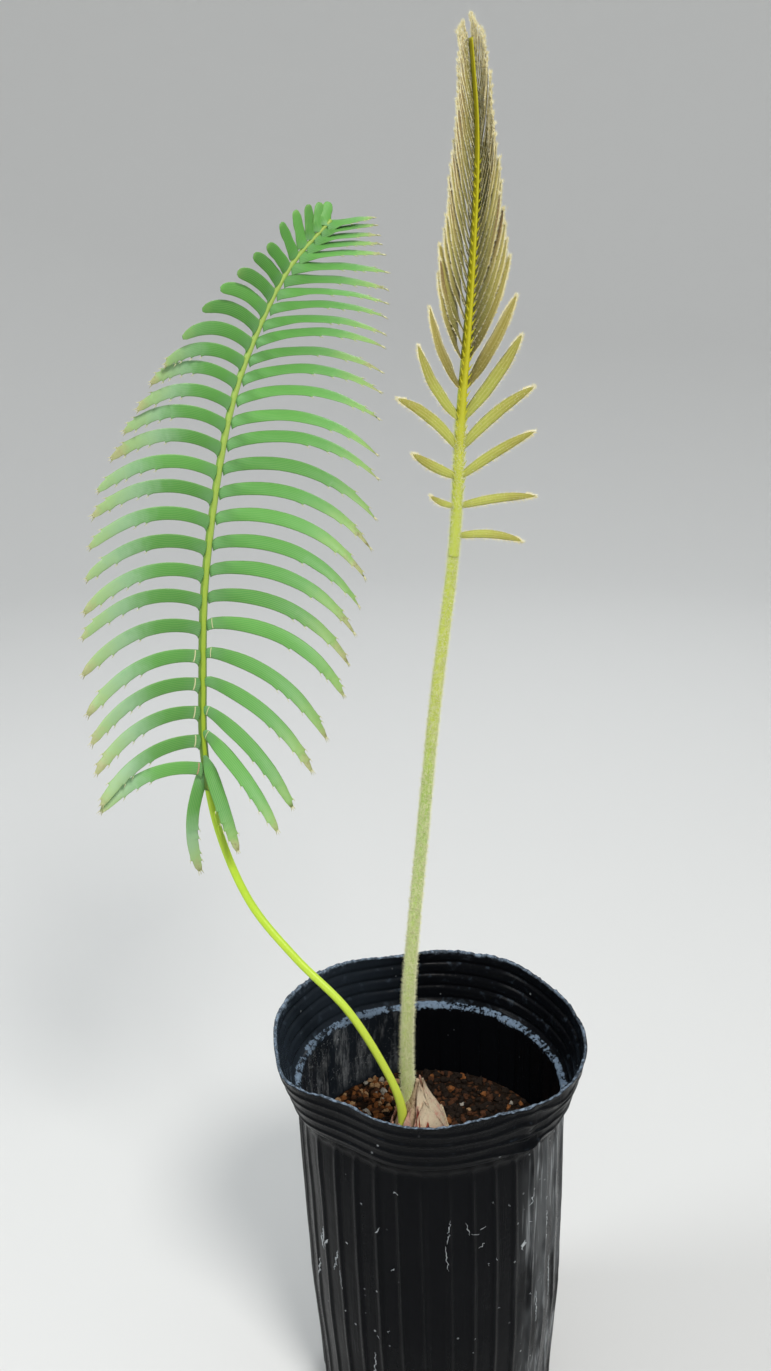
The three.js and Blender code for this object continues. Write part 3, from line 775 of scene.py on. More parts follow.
def scale_rings(turn, foot, length, half_width, lift, random):
    """One dry scale leaf laid on the stem: broad at its foot and pointed above."""
    tip_lean = random.uniform(*SCALE_TIP_LEAN)
    phase = random.uniform(0, 6)
    across = np.linspace(-1, 1, SCALE_COLUMNS)
    rings = []
    for share in np.linspace(0, 1, SCALE_ROWS):
        half = half_width * max(0.02, (1 - share) ** 0.85) * (0.9 + 0.25 * math.sin(math.pi * share))
        height = foot + share * length
        lies_at = stem_radius(height)
        radius = lies_at + lift * (0.4 + 0.6 * share)
        radius = radius + (0.25 + 0.5 * lift * share) * across**2
        radius = radius + SCALE_FOLDS * np.cos(across * 9 + phase) * (1 - share)
        radius = radius + SCALE_FINE_FOLDS * np.cos(across * 19 + share * 6 + phase)
        at = math.radians(turn) + tip_lean * share + across * half / max(2.2, lies_at)
        layers = []
        for depth in (SCALE_THICKNESS / 2, -SCALE_THICKNESS / 2):
            layer = outward(at) * (radius + depth)[:, None] + stem_axis(height)
            layer[:, 2] += SCALE_RAGGED * np.cos(across * 14 + phase) * share
            layers.append(layer)
        rings.append(np.concatenate([layers[0], layers[1][-2:0:-1]]))
    return np.array(rings)


def spiral_scale(number, random):
    """What scale_rings needs, and the kind. It stays short where the stalk leaves the stem."""
    foot = number * SPIRAL_PITCH
    turn = GOLDEN_ANGLE * number + random.normal(0, SPIRAL_TURN_SPREAD)
    length = random.uniform(*SPIRAL_LENGTHS) * min(LONGEST_SCALE, SPIRAL_TOP - foot)
    if math.cos(math.radians(turn - STALK_SIDE)) > STALK_SIDE_NEARNESS:
        length = max(SHORTEST_SCALE, min(length, STALK_SIDE_TOP - foot))
    half_width = WIDEST_SCALE - SCALE_NARROWING * number
    lift = random.uniform(*SPIRAL_LIFTS)
    return turn, foot, length, half_width, lift, int(random.random() < PINK_SHARE)


def there_and_back(front, back):
    """Values round a flat ring: all of the front's columns, then the back's between them."""
    return np.concatenate([front, back[-2:0:-1]])


scale_random = np.random.default_rng(SCALE_SEED)
columns = np.abs(np.linspace(-1, 1, SCALE_COLUMNS))
scale_margin = there_and_back(columns, columns)
crown_skins = Skins()
crown_skins.add(stem_rings(), 3, along=0, margin=0)
spiral_scales = [spiral_scale(number, scale_random) for number in range(SPIRAL_SCALES)]
for *shape, kind in FRONT_SCALES + spiral_scales:
    crown_skins.add(
        scale_rings(*shape, scale_random),
        kind,
        along=np.linspace(0, 1, SCALE_ROWS)[:, None],
        margin=scale_margin,
    )
crown_finishes = [
    paper_finish("cream_paper", PAPER_CREAM, PAPER_PINK),
    paper_finish("pink_paper", PAPER_PINK, PAPER_CREAM),
    paper_finish("red_paper", PAPER_RED, PAPER_BROWN),
    stem_finish(),
]
crown = crown_skins.piece("stem_crown_scales", crown_finishes, "dry_scale")
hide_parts("stem_crown")

# Full-grown frond, stalk and midrib
# A smooth yellow-green stalk that arches out of the crown and runs on as the midrib between
# the leaflets. It is round behind, with a shallow channel along its upper side.

MATURE_LINE = [
    (-14.5, -7.5, 126), (-16.5, -7.5, 141), (-23, -5.5, 156), (-37, -1, 178), (-57, 7, 196),
    (-74, 15, 215), (-86, 21, 244), (-90.3, 24, 274), (-89.8, 25, 301), (-87, 27.5, 343),
    (-76.6, 35, 400), (-67, 41, 426), (-55, 47, 448), (-41, 51.5, 463),
]
# Radii of a stalk at its foot, above the foot and under the blade, and where those are
STALK_RADII_AT = [0, 0.15, 1]
MATURE_STALK_RADII = [2.1, 1.55, 1.55]
MATURE_BLADE_START = 0.421
MATURE_FACE_HEADING = 20
STALK_SIDES = 20
CHANNEL_SPREAD = 0.55
MATURE_CHANNEL = 0.12
MATURE_RIDGE = 0.12
STALK_ROWS = 150
RIB_ROWS = 160
LINE_SAMPLES = 80
# How far a stalk runs on past the start of its blade, as a share of the whole line
STALK_RUN_ON = 0.004
STALK_GREEN = (0.42, 0.66, 0.02, 1)
STALK_LIME = (0.74, 0.88, 0.10, 1)
STALK_GREENING = (120, 215)
# Colours of the midrib's sides, darkened as painted shade, low and high up, then of its front
RIB_SHADED_SIDE = (0.10, 0.20, 0.012, 1)
RIB_SHADED_SIDE_HIGH = (0.22, 0.38, 0.05, 1)
RIB_YELLOW = (0.34, 0.48, 0.010, 1)
RIB_PALE = (0.36, 0.50, 0.10, 1)
RIB_PALING = (250, 420)
UP = np.array([0.0, 0.0, 1.0])
# Shares of the line at which the two stubs below the blade start
LEAFLET_STUBS = [0.402, 0.387]
STUB_LENGTH = 8
STUB_RADIUS = 0.72
STUB_OUT = 1.25
STUB_SIDE = 0.75
STUB_ROWS = 16


def unit(vectors):
    return vectors / np.linalg.norm(vectors, axis=-1, keepdims=True)


def facing(heading):
    """The level direction toward the viewer, turned that many degrees to the right."""
    return np.array([math.sin(math.radians(heading)), -math.cos(math.radians(heading)), 0])


def circle(count, one, other):
    """Points round a circle of radius 1 that starts at one and passes other a quarter on."""
    turn = round_turns(count)[:, None]
    return np.cos(turn) * one + np.sin(turn) * other


class Course:
    """A smooth line through points, measured by its share of the length. It is the
    centripetal Catmull-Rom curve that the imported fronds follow."""

    def __init__(self, points):
        knots = [np.array(point, dtype=float) for point in points]
        knots = [2 * knots[0] - knots[1], *knots, 2 * knots[-1] - knots[-2]]
        share = np.linspace(0, 1, LINE_SAMPLES, endpoint=False)[:, None]
        runs = []
        for a, b, c, d in zip(knots, knots[1:], knots[2:], knots[3:]):
            ab, bc, cd = (math.sqrt(np.linalg.norm(q - p)) for p, q in [(a, b), (b, c), (c, d)])
            leave = ((b - a) / ab - (c - a) / (ab + bc) + (c - b) / bc) * bc
            arrive = ((c - b) / bc - (d - b) / (bc + cd) + (d - c) / cd) * bc
            bend = -3 * b + 3 * c - 2 * leave - arrive
            twist = 2 * b - 2 * c + leave + arrive
            runs.append(b + leave * share + bend * share**2 + twist * share**3)
        self.points = np.concatenate([*runs, knots[-2][None]])
        legs = np.linalg.norm(np.diff(self.points, axis=0), axis=1)
        self.length = legs.sum()
        self.shares = np.concatenate([[0], np.cumsum(legs)]) / self.length

    def point(self, share):
        return np.stack([np.interp(share, self.shares, self.points[:, k]) for k in range(3)], axis=-1)

    def ahead(self, share):
        reach = 0.002
        return unit(self.point(np.minimum(share + reach, 1)) - self.point(np.maximum(share - reach, 0)))


def limb_rings(course, shares, radii, channel, heading):
    """Rings round a stretch of a course. The channel is pressed into the side that faces
    the heading, or raised on it where the channel is less than nothing."""
    from_front = (round_turns(STALK_SIDES) + math.pi) % (2 * math.pi) - math.pi
    pressed = 1 - channel * hump(from_front / CHANNEL_SPREAD)
    rings = []
    for share, radius in zip(shares, radii):
        ahead = course.ahead(share)
        front = unit(facing(heading) - ahead * (facing(heading) @ ahead))
        out = circle(STALK_SIDES, front, np.cross(front, ahead))
        rings.append(course.point(share) + out * (radius * pressed)[:, None])
    return np.array(rings)


def stub_rings(course, top):
    """The ridge that is left where a leaflet never grew: blunt above, run out below."""
    rings = []
    for share in np.linspace(0, 1, STUB_ROWS):
        along = top - share * STUB_LENGTH / course.length
        ahead = course.ahead(along)
        front = unit(facing(0) - ahead * -ahead[1])
        right = np.cross(ahead, front)
        radius = STUB_RADIUS * min(1, 0.25 + share * 6) * (1 - 0.45 * share)
        centre = course.point(along) + front * STUB_OUT * (1 - 0.4 * share)
        centre = centre + right * STUB_SIDE * (1 - 0.6 * share)
        rings.append(centre + radius * circle(STALK_SIDES, front, right))
    return np.array(rings)


def stalk_finish():
    """Lime at its foot and greener further up, with fine streaks along it."""
    finish, place = new_finish("stalk_green", Specular_IOR_Level=0.5)
    height = place.part("Z").over_mm(*STALK_GREENING)
    streaks = place.stretched(1, 1, 0.06).noise(1500, 3, 0.6)
    shade = 0.7 * height + 0.45 * (streaks - 0.5)
    shade.over(0.0, 1.0).mix(STALK_LIME, STALK_GREEN).drives("Base Color")
    (0.32 + 0.2 * streaks).drives("Roughness")
    streaks.relief(0.35, 0.12).drives("Normal")
    return finish


mature_course = Course(MATURE_LINE)
shares = np.linspace(0, MATURE_BLADE_START + STALK_RUN_ON, STALK_ROWS)
radii = np.interp(shares / MATURE_BLADE_START, STALK_RADII_AT, MATURE_STALK_RADII)
mature_stalk_skins = Skins()
mature_stalk_skins.add(limb_rings(mature_course, shares, radii, MATURE_CHANNEL, MATURE_FACE_HEADING))
for top in LEAFLET_STUBS:
    mature_stalk_skins.add(stub_rings(mature_course, top))
mature_stalk = mature_stalk_skins.piece("mature_frond_petiole", [stalk_finish()], "green_stalk")
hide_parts("mature_frond_stalk")

# Full-grown frond, leaflets
# Stiff leathery leaflets in two rows on the front of the midrib. Each arches out and bends
# down to a pale tip, with fine parallel veins and a few short spines on its lower edge.

MATURE_SEED = 11
MATURE_PAIRS = 28
MATURE_FIRST = {"left": 0.66, "right": 0.87}
MATURE_WIDTHS = {"left": 5.0, "right": 5.5}
# Leaflets at shares of the blade: their length in millimetres, and in degrees the turn of
# their foot toward the viewer, its rise, how far they droop, and their upper edge's lean
# from the midrib and aim round it
MATURE_KEYS = {
    "at": [0.03, 0.1, 0.3, 0.55, 0.75, 0.9, 1],
    "left": {
        "length": [48, 51, 61, 62, 46, 18, 8],
        "toward": [45, 50, 56, 58, 63, 70, 60],
        "rise": [25, 16, 23, 26, 27, 37, 110],
        "droop": [60, 64, 55, 48, 48, 24, -15],
        "lean": [30, 28, 25, 22, 18, 15, 15],
        "aim": [90, 90, 90, 90, 90, 90, 90],
    },
    "right": {
        "length": [35, 48, 61, 63, 49, 35, 16],
        "toward": [50, 40, 15, 18, 14, 8, 0],
        "rise": [-70, -30, 8, 17, 20, 5, 14],
        "droop": [-10, 25, 71, 66, 46, 19, 10],
        "lean": [80, 50, 25, 38, 52, 58, 60],
        "aim": [5, 20, 90, 90, 90, 90, 90],
    },
}
HANGING_LEAFLET = {"at": 0.03, "length": 42, "toward": 10, "rise": -68, "droop": 40, "lean": 80, "aim": 0}
SPACING_CROWDING = 0.5
CROWDING_POWER = 1.25
DROOP_POWER = 1.2
TIP_NARROWING = 0.35
BLADE_BARE_FOOT = 0.01
# How far in front of the midrib's middle and to its side a leaflet is seated, in midrib radii,
# and how much wider than its row it is
SEAT_AT = [0, 0.1, 0.3]
WIDENING_AT = [0, 0.7, 0.85, 1]
FRONT_SEAT = {"left": [0.35, 0.35, 0.35], "right": [1.15, 1.0, 0.4]}
SIDE_SEAT = {"left": [0.6, 0.6, 0.6], "right": [-0.3, 0.05, 0.6]}
WIDENING = {"left": [1, 1, 1.3, 1.3], "right": [1, 1, 1.05, 1.6]}
SEAT_OUT = 0.15
RISE_SPREAD = 1.2
LEAN_SPREAD = 3
CURL_SPREAD = 0.03
LOWEST_LIFT = 0.0145
LIFTED_TO = 0.15
RIB_AT = [0, 0.1, 0.4, 0.55, 0.8, 0.9, 1]
RIB_RADII = [1.65, 1.65, 1.45, 1.35, 1.1, 0.95, 0.7]
TWIST_END = 0.35
LEAFLET_STEPS = 60
LEAFLET_STATIONS = 20
LEAFLET_COLUMNS = 17
MATURE_FORM = {"columns": LEAFLET_COLUMNS, "thickness": 0.5, "arch": 0.06, "vein": 0.04, "wave": 0.08}
# Half width along the lower and the upper edge of each row's leaflets, as a share of their
# own, at these shares of their length
EDGE_STATIONS = [0, 0.015, 0.04, 0.1, 0.3, 0.5, 0.7, 0.85, 0.95, 1]
EDGES = {
    "left": (
        [1.5, 1.2, 1.02, 0.96, 1, 0.98, 0.92, 0.8, 0.6, 0.3],
        [0.75, 0.95, 1, 0.98, 1, 0.98, 0.92, 0.8, 0.6, 0.3],
    ),
    "right": (
        [1.1, 0.95, 0.86, 0.84, 1, 0.98, 0.84, 0.56, 0.3, 0.1],
        [0.2, 0.5, 0.72, 0.86, 1, 0.98, 0.84, 0.56, 0.3, 0.1],
    ),
}
POINTED_EDGE = [0.8, 0.88, 0.93, 0.98, 1, 0.9, 0.68, 0.42, 0.18, 0.04]
# Shares of the blade over which leaflets on the left lose their teeth and turn pointed, and
# those on the right lose their bluntness, and the share of a leaflet past which bluntness shows
UNRIPE_FROM = (0.7, 0.8)
UNRIPE_GREEN = 0.28
POINTED_FROM = (0.84, 0.93)
BLUNT_TO = (0.25, 0.45)
BLUNTNESS = 0.6
BLUNT_TIP = 0.6
# Where teeth may stand on the lower and the upper edge, and how often each does
TEETH = [([0.55, 0.68, 0.8, 0.9], 0.85), ([0.86, 0.95], 0.7)]
TOOTH_HEIGHT = 0.5
TOOTH_SPREAD = 0.02
LAST_TOOTH = 0.97
THINNEST_EDGE = 0.08
# Steps along an edge from a tooth's point, at which its outline changes
TOOTH_STEPS = np.array([-0.05, -0.012, 0, 0.006, 0.07])
# Stations added round each tooth and at the foot, and how many a leaflet has for its teeth
STATIONS_ROUND_TOOTH = (-0.05, -0.012, 0, 0.006, 0.05)
STATIONS_AT_FOOT = [0.015, 0.04, 0.06]
SPARE_STATIONS = (0.1, 0.95)
MOST_MARKS = 30
# Teeth and spines are smaller on short leaflets: lengths, and shares of the full size
SPINE_SIZES = ([10, 40], [0.6, 1])
SPINE_LENGTH = 1.3
SPINE_RADIUS = 0.24
SPINE_SPLAY = 0.45
SPINE_ROOT = 0.3
SPINE_POINT = 0.08
TIP_SPINE_RADIUS = SPINE_RADIUS * 1.2
TIP_SPINE_SPLAY = 0.6
TIP_SPINES = (-0.42, 0.0, 0.42)
TIP_SPINE_LENGTHS = (0.8, 1.6)
# Shares of the blade between which each row has callus marks, how far along a leaflet they
# lie and how wide they are. The lowest marks on the left are pink. A few leaflets on the
# right have none.
CALLUS_ROWS = {"left": (0.032, 0.26), "right": (0.05, 0.3)}
CALLUS_MARKS = {"left": (0.07, 0.25), "right": (0.03, 0.2)}
PINK_BELOW = 0.06
CALLUS_GAP = (0.17, 0.22)
CALLUS_HEIGHT = 0.3
CALLUS_SIDES = 6
LEAF_GREENS = {
    "leaf_green": (0.095, 0.33, 0.065, 1),
    "leaf_green_deep": (0.08, 0.285, 0.055, 1),
    "leaf_green_light": (0.115, 0.375, 0.075, 1),
}
LEAF_GREEN_SHARES = [0.5, 0.25, 0.25]
# How strongly each row's leaflets carry a painted sheen of reflected light on their outer part
PAINTED_SHEEN_BY_ROW = {"left": 0.85, "right": 0.12}
LEAF_BLOOM = (0.17, 0.36, 0.18, 1)
LEAF_PAINTED_SHEEN = (0.33, 0.52, 0.32, 1)
LEAF_YELLOWING = (0.36, 0.52, 0.16, 1)
LEAF_TIP_CREAM = (0.42, 0.42, 0.20, 1)
LEAF_TIP_BROWN = (0.16, 0.11, 0.04, 1)
LEAF_UNDERSIDE = (0.16, 0.36, 0.11, 1)
CALLUS_CREAM = (0.66, 0.64, 0.38, 1)
CALLUS_PINK = (0.50, 0.30, 0.20, 1)


def leaflet_course(course, along, side, shape, rib_radius, face_heading):
    """Middle line of a leaflet, the direction of its upper edge at its foot and further out,
    and the way its blade faces."""
    toward, rise = math.radians(shape["toward"]), math.radians(shape["rise"])
    level = np.array([side * math.cos(toward), -math.sin(toward), 0])
    rib = course.ahead(along)
    front = facing(face_heading)
    right = unit(np.cross(rib, front))
    edges = []
    for prefix in ("foot_", ""):
        lean = math.radians(shape.get(prefix + "lean", 0))
        aim = math.radians(shape.get(prefix + "aim", 0))
        edge = rib * math.cos(lean) + right * side * math.sin(lean) * math.cos(aim)
        edges.append(edge - front * math.sin(lean) * math.sin(aim))
    middles = (np.arange(LEAFLET_STEPS) + 0.5) / LEAFLET_STEPS
    slopes = np.radians(shape["rise"] - shape["droop"] * middles**DROOP_POWER)
    legs = (level * np.cos(slopes)[:, None] + UP * np.sin(slopes)[:, None]) * shape["length"] / LEAFLET_STEPS
    leave = level * math.cos(rise) + UP * math.sin(rise)
    seat = front * shape["front_seat"] + right * side * shape["side_seat"] + leave * SEAT_OUT
    start = course.point(along) + seat * rib_radius
    return np.concatenate([[start], start + np.cumsum(legs, axis=0)]), edges, front


def along_line(values, shares, places):
    """Values of a line of points or directions, read between its points."""
    return np.stack([np.interp(places, shares, values[:, k]) for k in range(3)], axis=-1)


def leaflet_rings(line, edges, front, stations, lower, upper, form):
    """Rings of a thin arched blade with veins, which turns from the way its foot is set to
    the way its outer part lies. Lower and upper are the half widths."""
    shares = np.linspace(0, 1, len(line))
    points = along_line(line, shares, stations)
    ahead = unit(along_line(np.gradient(line, axis=0), shares, stations))
    turned = smooth_step(0, TWIST_END, stations)[:, None]
    edge = (1 - turned) * edges[0] + turned * edges[1]
    across = unit(edge - ahead * (ahead * edge).sum(axis=1)[:, None])
    face = np.cross(ahead, across)
    if face.mean(axis=0) @ front < 0:
        face = -face
    u = np.linspace(-1, 1, form["columns"])
    reach = np.where(u[None, :] < 0, lower[:, None], upper[:, None]) * u[None, :]
    width = (lower + upper)[:, None]
    arch = form["arch"] * width * (1 - u**2)
    vein = form["vein"] * np.where(np.arange(form["columns"]) % 2 == 0, 1, -1)
    body = form["thickness"] / 2 * np.sqrt(np.clip(1.04 - u**2, 0, None)) * np.minimum(1, width / 2.5)
    curl = form["curl"] * stations[:, None] * u[None, :] * width
    level = arch + curl + form["wave"] * np.sin(stations * 17 + form["phase"])[:, None] * u[None, :] ** 2
    plane = points[:, None] + across[:, None] * reach[:, :, None]
    top = plane + face[:, None] * (level + body + vein)[:, :, None]
    under = plane + face[:, None] * (level - body - 0.5 * vein)[:, :, None]
    return np.concatenate([top, under[:, -2:0:-1]], axis=1)


def toothed_edge(stations, outline, size, teeth, tooth_height):
    """Half width along an edge, with a tooth that stands up slowly and drops at once."""
    edge = np.interp(stations, EDGE_STATIONS, outline) * size
    for tooth in teeth:
        edge = edge + np.interp(stations, tooth + TOOTH_STEPS, [0, 0.25, tooth_height, -0.2, 0], 0, 0)
    return np.maximum(edge, THINNEST_EDGE)


def spine(root, direction, length, radius):
    """A short three-sided spine, as a closed skin of two rings."""
    direction = unit(direction)
    side = unit(np.cross(direction, UP + np.array([0.3, 0.1, 0])))
    star = circle(3, side, np.cross(direction, side)) * radius
    return np.array([root - direction * SPINE_ROOT + star, root + direction * length + star * SPINE_POINT])


def mixed(one, other, share):
    return np.array(one) * (1 - share) + np.array(other) * share


def leaflet_shapes(keys, pairs, first, widths, extra_from=None):
    """Each leaflet's side, place and angles, from the key values. Past extra_from there is
    one more leaflet between each two."""
    shapes = []
    for side, row in [(-1, "left"), (1, "right")]:
        counts = list(range(pairs))
        if extra_from is not None:
            counts += [k + 0.5 for k in range(pairs) if (k + first[row]) / pairs > extra_from]
        for k in sorted(counts):
            share = (k + first[row]) / pairs
            if share > 1:
                continue
            at = share * (1 + SPACING_CROWDING * (1 - share**CROWDING_POWER))
            shape = {key: float(np.interp(at, keys["at"], values)) for key, values in keys[row].items()}
            shape["at"] = at
            shape["width"] = widths[row] * (1 - TIP_NARROWING * at**3)
            shapes.append((side, shape))
    return shapes


def blade_place(start, at):
    """Share of a frond's whole line at which a leaflet of its blade stands."""
    return start + (1 - start) * (BLADE_BARE_FOOT + (1 - 2 * BLADE_BARE_FOOT) * at)


def leaf_finish(name, green):
    """Leathery green blade: bloomed near the midrib, veined, with a painted sheen of reflected light on its
    outer part, and yellowing outward.
    """
    leaf, place = new_finish(name, Specular_IOR_Level=0.4)
    along = place.attribute("along")
    across = place.attribute("across")
    under = place.attribute("under")
    silver = place.attribute("silver")
    mottling = place.noise(240, 3, 0.6)
    veins = (across * 8.0 * math.pi).math("COSINE").over(-0.2, 1.0)
    bloom = (1 - along.over(0.0, 0.2)) * (0.25 + 0.5 * mottling)
    body = bloom.mix(green, LEAF_BLOOM)
    body = (veins * 0.3).mix(body, LEAF_YELLOWING)
    ageing = along + 0.2 * (mottling - 0.5) + 0.14 * (place.attribute("shade") - 0.5)
    # Painted sheen of reflected light over the outer part of the blade
    body = (ageing.over(0.35, 0.75) * silver).mix(body, LEAF_PAINTED_SHEEN)
    edge = across.math("ABSOLUTE").over(0.8, 1.0) * 0.3
    yellow = ageing.over(0.6, 0.97) * 0.62
    body = (yellow + edge).math("MINIMUM", 1.0).mix(body, LEAF_YELLOWING)
    body = (ageing.over(0.88, 1.0) * 0.85).mix(body, LEAF_TIP_CREAM)
    scorch = ageing.over(0.86, 1.02) * place.noise(520, 3, 0.7).over(0.5, 0.66)
    scorch = scorch * (0.7 - 0.6 * silver)
    body = scorch.mix(body, LEAF_TIP_BROWN)
    under.mix(body, LEAF_UNDERSIDE).drives("Base Color")
    (0.40 + 0.2 * mottling + 0.12 * under).drives("Roughness")
    (veins * 0.6 + 0.5 * place.noise(900, 2)).relief(0.25, 0.12).drives("Normal")
    return leaf


def plain_finish(name, colour, roughness):
    return new_finish(name, Base_Color=colour, Roughness=roughness, Specular_IOR_Level=0.3)[0]


def callus_rings(rings, stations, at, width):
    """A raised scar straight across a leaflet's face at that share of its length."""
    k = int(np.abs(stations - at).argmin())
    row = rings[k, :LEAFLET_COLUMNS]
    middle = LEAFLET_COLUMNS // 2
    ahead = unit(rings[k + 1, middle] - row[middle])
    face = unit(np.cross(row[-1] - row[0], ahead))
    return row[1:-1, None] + circle(CALLUS_SIDES, ahead * width, face * CALLUS_HEIGHT) + face * 0.1


def rib_finish():
    """A yellow ridge in front, brighter in patches along it, and sides darkened to olive as painted shade."""
    finish, place = new_finish("midrib", Roughness=0.42)
    # Sides that turn away from the front are darkened to olive as painted shade
    ridge = place.attribute("across")
    height = place.part("Z").over_mm(*RIB_PALING)
    streaks = place.stretched(1, 1, 0.15).noise(700, 3)
    patches = place.stretched(1, 1, 1.6).noise(150, 2)
    side = height.mix(RIB_SHADED_SIDE, RIB_SHADED_SIDE_HIGH)
    front = height.mix(RIB_YELLOW, RIB_PALE)
    bright = (ridge + 0.2 * height).over(0.8, 1.04) + 0.4 * (streaks - 0.5) + 0.5 * (patches - 0.5)
    bright.over(0.1, 0.9).mix(side, front).drives("Base Color")
    streaks.relief(0.3, 0.12).drives("Normal")
    return finish


mature_random = np.random.default_rng(MATURE_SEED)
mature_leaf = Skins()
mature_spines = Skins()
mature_shapes = leaflet_shapes(MATURE_KEYS, MATURE_PAIRS, MATURE_FIRST, MATURE_WIDTHS)
mature_shapes.append((-1, {**HANGING_LEAFLET, "width": MATURE_WIDTHS["left"]}))
columns = np.linspace(-1, 1, LEAFLET_COLUMNS)
mature_across = there_and_back(columns, columns)
mature_under = there_and_back(0 * columns, 0 * columns + 1)
middle_column = LEAFLET_COLUMNS // 2
for side, shape in mature_shapes:
    row = "left" if side < 0 else "right"
    at = shape["at"]
    along = blade_place(MATURE_BLADE_START, at)
    if row == "right":
        along += LOWEST_LIFT * max(0, 1 - at / LIFTED_TO)
    rib_radius = np.interp(at, RIB_AT, RIB_RADII)
    shape["front_seat"] = np.interp(at, SEAT_AT, FRONT_SEAT[row])
    shape["side_seat"] = np.interp(at, SEAT_AT, SIDE_SEAT[row])
    shape["width"] *= np.interp(at, WIDENING_AT, WIDENING[row])
    shape["rise"] += mature_random.normal(0, RISE_SPREAD)
    shape["lean"] += mature_random.normal(0, LEAN_SPREAD)
    line, edges, front = leaflet_course(mature_course, along, side, shape, rib_radius, MATURE_FACE_HEADING)

    # Leaflets near the tip on the left are still pointed and toothless
    pointed = smooth_step(*POINTED_FROM, at) if row == "left" else 0
    unripe = smooth_step(*UNRIPE_FROM, at) if row == "left" else 0
    teeth = [
        [
            min(tooth + mature_random.normal(0, TOOTH_SPREAD), LAST_TOOTH)
            for tooth in places
            if mature_random.random() < chance * (1 - unripe)
        ]
        for places, chance in TEETH
    ]
    marks = [tooth + step for tooth in teeth[0] + teeth[1] for step in STATIONS_ROUND_TOOTH]
    while len(marks) < MOST_MARKS:
        marks.append(mature_random.uniform(*SPARE_STATIONS))
    marks += STATIONS_AT_FOOT
    stations = np.sort(np.clip(np.concatenate([np.linspace(0, 1, LEAFLET_STATIONS), marks]), 0, 1))
    blunt = BLUNTNESS * (1 - smooth_step(*BLUNT_TO, at)) if row == "right" else 0
    tip_only = np.array(EDGE_STATIONS) > BLUNT_TIP
    size = np.interp(shape["length"], *SPINE_SIZES)
    halves = []
    for outline, places in zip(EDGES[row], teeth):
        blunter = mixed(outline, EDGES["left"][0], blunt)
        outline = np.where(tip_only, blunter, mixed(outline, POINTED_EDGE, pointed))
        halves.append(toothed_edge(stations, outline, shape["width"] / 2, places, TOOTH_HEIGHT * size))
    bend = {"curl": mature_random.normal(0, CURL_SPREAD), "phase": mature_random.uniform(0, 6)}
    rings = leaflet_rings(line, edges, front, stations, *halves, MATURE_FORM | bend)
    mature_leaf.add(
        rings,
        int(mature_random.choice(3, p=LEAF_GREEN_SHARES)),
        along=stations[:, None] * (1 - UNRIPE_GREEN * unripe),
        across=mature_across,
        under=mature_under,
        shade=mature_random.uniform(0, 1),
        silver=PAINTED_SHEEN_BY_ROW[row] * (1 - unripe),
    )

    # Spines on the teeth and the tip, and callus marks across the feet of the lower leaflets
    for places, column in zip(teeth, (0, LEAFLET_COLUMNS - 1)):
        for tooth in places:
            k = int(np.abs(stations - tooth).argmin())
            ahead = rings[min(k + 2, len(stations) - 1), column] - rings[max(k - 3, 0), column]
            out = rings[k, column] - rings[k, middle_column]
            direction = unit(ahead) + SPINE_SPLAY * unit(out)
            mature_spines.add(spine(rings[k, column], direction, SPINE_LENGTH * size, SPINE_RADIUS))
    end = rings[-1, :LEAFLET_COLUMNS].mean(axis=0)
    ahead = unit(end - rings[-4, :LEAFLET_COLUMNS].mean(axis=0))
    out = rings[-1, 0] - rings[-1, LEAFLET_COLUMNS - 1]
    for lean in TIP_SPINES if unripe < 0.5 else ():
        length = SPINE_LENGTH * size * mature_random.uniform(*TIP_SPINE_LENGTHS)
        direction = ahead + TIP_SPINE_SPLAY * lean * unit(out)
        mature_spines.add(spine(end + out * lean, direction, length, TIP_SPINE_RADIUS), int(lean > 0))
    lowest, highest = CALLUS_ROWS[row]
    in_gap = row == "right" and CALLUS_GAP[0] < at < CALLUS_GAP[1]
    if lowest < at < highest and not in_gap:
        kind = 2 if row == "left" and at < PINK_BELOW else 0
        mature_spines.add(callus_rings(rings, stations, *CALLUS_MARKS[row]), kind)
mature_finishes = [leaf_finish(name, green) for name, green in LEAF_GREENS.items()]
mature_blade = mature_leaf.piece("mature_frond_leaflets", mature_finishes, "green_leaf", mapped=True)
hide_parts("mature_frond_blade")
spine_finishes = [
    plain_finish("spine_cream", CALLUS_CREAM, 0.5),
    plain_finish("spine_tan", LEAF_TIP_CREAM, 0.5),
    plain_finish("callus_pink", CALLUS_PINK, 0.6),
]
mature_spines.piece("mature_frond_spines", spine_finishes, "green_leaf", mapped=True)

shares = np.linspace(MATURE_BLADE_START + STALK_RUN_ON, 1, RIB_ROWS)
radii = np.interp(np.linspace(0, 1, RIB_ROWS), RIB_AT, RIB_RADII)
rings = limb_rings(mature_course, shares, radii, -MATURE_RIDGE, MATURE_FACE_HEADING)
ring_front = np.cos(round_turns(STALK_SIDES))
mature_rib = Skins()
mature_rib.add(rings, along=shares[:, None], across=ring_front)
mature_rib.piece("mature_frond_midrib", [rib_finish()], "green_stalk", mapped=True)

# Young frond, stalk
# A stout pale green stalk covered in short cream wool, which is thickest at its foot and
# catches the light along both edges.

YOUNG_SEED = 17
YOUNG_LINE = [
    (-11, -3, 126), (-13.5, -2.6, 149), (-13.2, -0.5, 184), (-8.2, 4, 252), (-4.1, 7, 301),
    (1.8, 10.5, 357), (3.4, 13.5, 402), (6, 16.5, 448), (6.9, 19.5, 489), (4.5, 21, 517),
]
